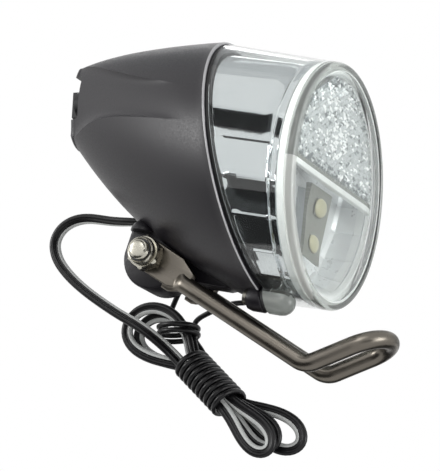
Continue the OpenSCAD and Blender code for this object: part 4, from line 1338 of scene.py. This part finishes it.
@dataclass
class PivotBlock:
    """Black lug under the housing, with a rail ahead of it and a saddle that hugs the belly."""

    lug_r: float = 8.3
    lug_w: float = 11.7
    rise: float = 8.4
    bore: float = 5.4
    rail_w: float = 7.7
    corner: float = 1.6
    saddle: tuple[float, float, float] = (5.5, 10.5, 4.4)
    saddle_at: tuple[float, float, float] = (-3.2, 0.0, 5.9)
    edge_roll: Pairs = ((0.0, 0.7), (0.2, 0.22), (0.7, 0.0))
    rail: Pairs = (
        (4.0, -4.5), (20.0, -4.5), (21.2, -4.1), (22.0, -3.0), (22.0, 2.0), (4.0, 3.6))
    rail_middle: tuple[float, float] = (12.0, -1.0)

    def lug(self) -> Outline:
        """Gives the lug's outline round the pivot: round below, square to the housing above."""
        outline = [(self.lug_r * math.cos(a), self.lug_r * math.sin(a)) for a in (
            math.radians(-8 - 172 * i / 24) for i in range(25))]
        side, top = 0.7 - self.lug_r + self.corner, self.rise - self.corner
        outline += [(side + self.corner * math.cos(a), top + self.corner * math.sin(a)) for a in (
            math.radians(180 - 90 * i / 5) for i in range(6))]
        return outline + [(self.lug_r + 2.0, self.rise), (self.lug_r + 2.0, 1.0)]

    def plate(
            self, bm: Mesh, outline: Outline, middle: tuple[float, float],
            width: float) -> None:
        """Lofts a plate across the lamp with rounded edges.

        Args:
            bm: mesh that gets the plate.
            outline: its outline round the pivot.
            middle: point of the outline that the edges draw in to.
            width: its width.
        """
        sides = [(x - width / 2, inset / self.lug_r) for x, inset in self.edge_roll]
        sides += [(-y, share) for y, share in sides[::-1]]
        loft(bm, [
            [PIVOT_AT + Vector((mix(a, middle[0], share), y, mix(b, middle[1], share))) for a, b in outline]
            for y, share in sides])

    def build(self) -> None:
        """Builds lug, rail and saddle in place of the CAD node."""
        lug = bmesh.new()
        self.plate(lug, self.lug(), (0.0, 0.0), self.lug_w)
        bore = circle(self.bore / 2, 48)
        hole = lofted([[PIVOT_AT + Vector((a, y, b)) for a, b in bore] for y in (-9.0, 9.0)])
        bm = combine(lug, hole, Combine.CUT)
        self.plate(bm, self.rail, self.rail_middle, self.rail_w)
        dome = bmesh.ops.create_uvsphere(bm, u_segments=40, v_segments=24, radius=1.0)["verts"]
        for vert in dome:
            vert.co.z = max(vert.co.z, 0.0)
        bmesh.ops.scale(bm, vec=self.saddle, verts=dome)
        bmesh.ops.translate(bm, vec=PIVOT_AT + Vector(self.saddle_at), verts=dome)
        place("pivot_lug", bm, [LUG_NYLON], Carrier.LAMP, "lug_black", ["pivot_block"])


@dataclass
class PivotBolt:
    """Bolt through both tabs with its locknut: chamfered hexagons, a collar and a threaded tip."""

    shank: float = 2.5
    bore: float = 2.62
    across_flats: float = 8.0
    uncut: float = 9.0
    head: float = 3.5
    nut: float = 3.4
    collar: float = 1.8
    tip: float = 1.8
    face: float = 8.45
    count: int = 72

    def hexagon(self, z: float, limit: float) -> list[Vector]:
        """Draws a hexagon whose corners are cut back to a circle.

        Args:
            z: place along the bolt.
            limit: radius of the circle.

        Returns:
            The ring's points.
        """
        ring = []
        for i in range(self.count):
            a = math.tau * i / self.count
            off = (a + math.pi / 6) % (math.pi / 3) - math.pi / 6
            r = min(self.across_flats / 2 / math.cos(off), limit)
            ring.append(Vector((r * math.cos(a), r * math.sin(a), z)))
        return ring

    def round(self, z: float, r: float) -> list[Vector]:
        """Draws a round ring."""
        return [Vector((a, b, z)) for a, b in circle(r, self.count)]

    def make(self, name: str, node: str, rings: Rings, ring_shaped: bool = False) -> None:
        """Places a piece of plated steel on the pivot, +Z of its rings towards the near side.

        Args:
            name: the piece's name.
            node: the CAD node that it replaces.
            rings: its skin.
            ring_shaped: whether it has a bore.
        """
        bm = lofted(rings, ring_shaped)
        bm.transform(Matrix.Translation(PIVOT / MM) @ Matrix.Rotation(math.radians(90), 4, "X"))
        place(name, bm, [ZINC_STEEL], Carrier.BRACKET, "plated_steel", [node], EYE, 30.0)

    def build(self) -> None:
        """Builds bolt and nut in place of their CAD nodes."""
        low = -self.face - self.head
        top = self.face + self.nut + self.collar
        rings = [self.round(low, 3.2), self.hexagon(low, 3.75), self.hexagon(low + 0.5, self.uncut)]
        rings += [self.hexagon(-self.face - 0.15, self.uncut), self.hexagon(-self.face, 3.9)]
        rings += [self.round(-self.face, self.shank), self.round(top - 0.4, self.shank)]
        rings += [self.round(top - 0.4 + 0.4 * i, 2.18 if i % 2 else 2.46) for i in range(1, 5)]
        rings += [
            self.round(top + self.tip - 0.45, 2.2), self.round(top + self.tip - 0.15, 1.9),
            self.round(top + self.tip, 1.2)]
        self.make("pivot_bolt_m5", "pivot_bolt", rings)
        low, high = self.face, self.face + self.nut
        rings = [self.round(low, self.bore), self.round(low, 3.6)]
        rings += [self.hexagon(low, 4.05), self.hexagon(low + 0.5, self.uncut)]
        rings += [self.hexagon(high - 0.55, self.uncut), self.hexagon(high, 4.0)]
        rings += [self.round(high, 3.7), self.round(high + 1.15, 3.68), self.round(high + 1.6, 3.5)]
        rings += [
            self.round(top, 3.24), self.round(top - 0.08, 3.0), self.round(top - 0.5, 2.86),
            self.round(top - 0.75, self.bore)]
        self.make("pivot_locknut", "pivot_nut", rings, ring_shaped=True)


GLAND_WAY = Vector((-math.cos(math.radians(6)), 0.0, -math.sin(math.radians(6))))
GLAND_WALL = BULLET.point(0.395, -141.9)
GLAND_END = GLAND_WALL + 7.0 * GLAND_WAY


@dataclass
class Gland:
    """Tapered rubber sleeve where the lead leaves the housing, with ribs that let it bend."""

    # Way out from the wall and radius, rib by rib
    profile: Pairs = (
        (-5.0, 2.3), (-4.8, 2.5), (1.2, 2.5), (1.4, 2.15), (1.9, 2.15), (2.1, 2.42), (2.9, 2.36), (3.1, 2.0),
        (3.6, 2.0), (3.8, 2.25), (4.6, 2.15), (4.8, 1.85), (5.3, 1.85), (5.5, 2.0), (6.6, 1.8), (7.0, 1.5))

    def build(self) -> None:
        """Builds the sleeve in place of its CAD node."""
        middles = [GLAND_WALL + x * GLAND_WAY for x, _ in self.profile]
        rings = sweep(middles, ACROSS, lambda share: circle(1.0, 28))
        rings = [
            [middle + (p - middle) * r for p in ring]
            for ring, middle, (_, r) in zip(rings, middles, self.profile)]
        place(
            "lead_gland", lofted(rings), [GLAND_RUBBER], Carrier.LAMP, "gland_rubber", ["cable_gland"],
            sharp=50.0)


@dataclass
class Hank:
    """Places of the tied-up lead and of the wires round it, measured as in the part's source."""

    middle: Vector = field(default_factory=lambda: PIVOT_AT + Vector((11.3, 17.2, -26.1)))
    slope: float = 33.0
    layer: float = 2.6
    waist: float = 8.0
    tie: float = 1.2
    tie_gap: float = 0.45
    turns: int = 10
    tie_exit: tuple[float, float] = (0.834, -155.9)
    hang_exit: tuple[float, float] = (0.561, -139.1)
    exit_deep: float = 2.5

    def axes(self) -> tuple[Vector, Vector]:
        """Gives the ways along and across the hank."""
        s = math.radians(self.slope)
        return Vector((math.cos(s), 0.0, -math.sin(s))), Vector((math.sin(s), 0.0, math.cos(s)))

    def route(self, places: Sequence[tuple[float, float, float]]) -> list[Vector]:
        """Turns places that were measured from the pivot to points in the lamp's frame."""
        return [PIVOT_AT + Vector(p) for p in places]

    def way_out(self, spot: tuple[float, float]) -> list[Vector]:
        """Gives two points of a wire that leaves the lamp's underside: inside and on the skin."""
        out = BULLET.point(*spot)
        return [out + Vector((0.0, 0.0, self.exit_deep)), out]

    def coil(
            self, middle: Vector, along: Vector, over: Vector, radii: tuple[float, float], start: float,
            turns: int) -> list[Vector]:
        """Winds a thin wire round the lead.

        Args:
            middle: middle of the winding.
            along: its axis.
            over: way of its first radius; the second lies across the lamp.
            radii: both radii.
            start: degrees from the first radius to the wire's start.
            turns: how often it goes round.

        Returns:
            Points along the wire.
        """
        wound = []
        steps = 24 * turns
        for i in range(steps + 1):
            t = i / steps
            a = math.radians(start + 360 * turns * t)
            ring = radii[0] * math.cos(a) * over + radii[1] * math.sin(a) * ACROSS
            wound.append(middle + (t - 0.5) * turns * (self.tie + self.tie_gap) * along + ring)
        return wound

    def stops(self) -> list[Vector]:
        """Lists the points that the lead passes in the hank."""
        lower = ((5, -1.8), (11, -3.4), (16, -3), (18.4, 0), (16, 3), (11, 3.6), (5, 2.2))
        upper = (
            (3.5, 3.4), (8, 5.4), (13, 5.5), (18, 3.2), (20.6, -1.2), (19.6, -6), (15.2, -8), (9.4, -6.6),
            (4, -3.6))

        def run(way: int) -> list[tuple[float, float]]:
            """Gives one pass through the waist."""
            return [(way * t * self.waist, -way * self.layer / 2) for t in (-1, -0.34, 0.34, 1)]

        def down(size: float, fan: float) -> list[tuple[float, float]]:
            """Gives one loop below the waist."""
            c, s = math.cos(math.radians(fan)), math.sin(math.radians(fan))
            return [(self.waist + size * (a * c - b * s), size * (a * s + b * c)) for a, b in lower]

        def above(size: float) -> list[tuple[float, float]]:
            """Gives one loop above the waist."""
            return [(-self.waist - size * a, size * b) for a, b in upper]

        flat = run(1) + down(0.98, -1.5) + run(-1) + above(1.03)
        flat += run(1) + down(0.94, 5) + run(-1) + above(0.9)
        flat += run(1) + down(1.2, 16) + run(-1)[:3]
        along, across = self.axes()
        loop = len(lower) + len(upper) + 8
        return [
            self.middle + a * along + b * across + Vector((0.0, self.layer * i / loop, 0.0))
            for i, (a, b) in enumerate(flat)]

    def lead(self) -> list[Vector]:
        """Draws the whole lead from the gland to its end."""
        route = (
            (-23.5, 12.2, 10.7), (-29.5, 12.5, 10.8), (-33.9, 12.5, 9.8), (-37.4, 12.5, 7.3),
            (-38.8, 12.5, 3.7), (-38.1, 12.5, 0.7), (-36, 12.5, -2.4), (-31.7, 12.5, -5.7),
            (-26.7, 12.6, -8.5), (-21.1, 13, -11), (-15.2, 13.2, -13.3), (-10.2, 13.4, -14.9),
            (-5.4, 14, -16.9))
        stops = self.stops()
        way = (smooth_path(stops, 2)[1] - stops[0]).normalized()
        points = [GLAND_END, GLAND_END + 3.0 * GLAND_WAY] + self.route(route)
        return relax(smooth_path(points + [stops[0] - 6.0 * way] + stops, 5), 8)

    def tie_wire(self) -> list[Vector]:
        """Draws the tie wire from the lamp's underside and round the waist."""
        along, across = self.axes()
        thick = 1.28 * self.layer
        radii = self.layer / 2 + 2.25 + self.tie / 2, thick + 2.0 + self.tie / 2
        wound = self.coil(self.middle + thick * ACROSS, along, across, radii, 90, self.turns)
        route = (
            (21.2, 12.3, -4.4), (18.5, 13.3, -5), (14.3, 15, -5.5), (6.7, 20, -7.9), (1.4, 24, -9.9),
            (0.3, 26.3, -12.4), (1.2, 27, -15), (3.7, 27, -17))
        way = (wound[1] - wound[0]).normalized()
        points = self.way_out(self.tie_exit) + self.route(route)
        return relax(smooth_path(points + [wound[0] - 2.4 * way, wound[0]], 5), 8)[:-1] + wound

    def hang_wire(self) -> list[Vector]:
        """Draws the second wire from the lamp's underside and twice round the loops' right leg."""
        along, across = self.axes()
        s = math.radians(15)
        up, over = Vector((-math.sin(s), 0.0, math.cos(s))), Vector((math.cos(s), 0.0, math.sin(s)))
        middle = self.middle - 15 * along + 5.1 * across + 3.0 * ACROSS - 2.4 * over
        wound = self.coil(middle, -up, over, (5.2, 4.8), 180, 2)
        route = (
            (1.2, 16.6, 5), (-2.6, 21, 0.4), (-5.8, 24.6, -4.4), (-7.3, 26, -8.5), (-7.2, 25, -12),
            (-6.5, 22.8, -13.7))
        points = self.way_out(self.hang_exit) + self.route(route)
        return smooth_path(points + [wound[0]], 5)[:-1] + wound


@dataclass
class Cords:
    """Twin lead with a grey stripe, and the thin wires that bind its hank."""

    strand: float = 0.82
    apart: float = 0.76
    tie: float = 0.72
    striped: tuple[int, ...] = (1, 2, 3, 6, 7, 8)
    hank: Hank = field(default_factory=Hank)

    def twin(self, share: float) -> Outline:
        """Gives the section of two strands side by side, turned as the lead lies.

        Args:
            share: share of the lead's length.

        Returns:
            The outline, strand with the stripe first.
        """
        outline = []
        for side, start in ((1, -140), (-1, 40)):
            outline += [
                (side * self.apart + self.strand * math.cos(a), self.strand * math.sin(a))
                for a in (math.radians(start + 28 * i) for i in range(11))]
        turn = math.radians(mix(8.0, 72.0, min(1.0, share / 0.18)) + 14 * math.sin(9.0 * share * math.pi))
        c, s = math.cos(turn), math.sin(turn)
        return [(c * a - s * b, s * a + c * b) for a, b in outline]

    def declare(
            self, piece: bpy.types.Object, path: Sequence[Vector]) -> None:
        """Logs a cord's length.

        Args:
            piece: the cord.
            path: its centreline in the lamp's frame.
        """
        LOG.info("%s: %.1f mm long", piece.name, path_length(path))

    def build_lead(self) -> None:
        """Builds the twin lead and its hank in place of their CAD nodes."""
        path = self.hank.lead()
        bm = bmesh.new()
        for band in loft(bm, sweep(path, ACROSS, self.twin)):
            for i in self.striped:
                band[i].material_index = 1
        piece = place(
            "twin_lead", bm, [LEAD_PVC, STRIPE_PVC], Carrier.LAMP, "lead_black", ["lead", "lead_hank"],
            sharp=60.0)
        self.declare(piece, path)

    def build_wires(self) -> None:
        """Builds both thin wires in place of their CAD nodes."""
        spots = (
            ("tie_wire_wound", self.hank.tie_wire(), ("tie_wire", "tie_winding"), "coiled"),
            ("hang_wire_hooked", self.hank.hang_wire(), ("hang_wire",), "hanging"),
        )
        for name, path, nodes, lay in spots:
            bm = lofted(sweep(path, Vector((1.0, 0.0, 0.3)), lambda share: circle(self.tie, 12)))
            piece = place(name, bm, [TIE_PVC], Carrier.LAMP, "tie_black", nodes, sharp=60.0)
            self.declare(piece, path)

    def build(self) -> None:
        """Builds lead and wires."""
        self.build_lead()
        self.build_wires()


def dress_nodes() -> None:
    """Gives each CAD node that still shows its own finish."""
    for name, finish in NODE_FINISHES.items():
        for slot in frame["nodes"][name].material_slots:
            slot.material = finish.material()
        LOG.info("%s: CAD shape in %s", name, finish.name)


def main() -> None:
    """Builds the scene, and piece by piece."""
    logging.basicConfig(level=logging.INFO, format="%(message)s")
    Studio().build()
    for part in (
            Cords(), Housing(), FrontCap(), Reflector(), PrismPanel(), LensFrame(), Emitters(),
            PivotBlock(), Bracket(), PivotBolt(), Gland()):
        part.build()
    dress_nodes()


if __name__ == "__main__":
    main()
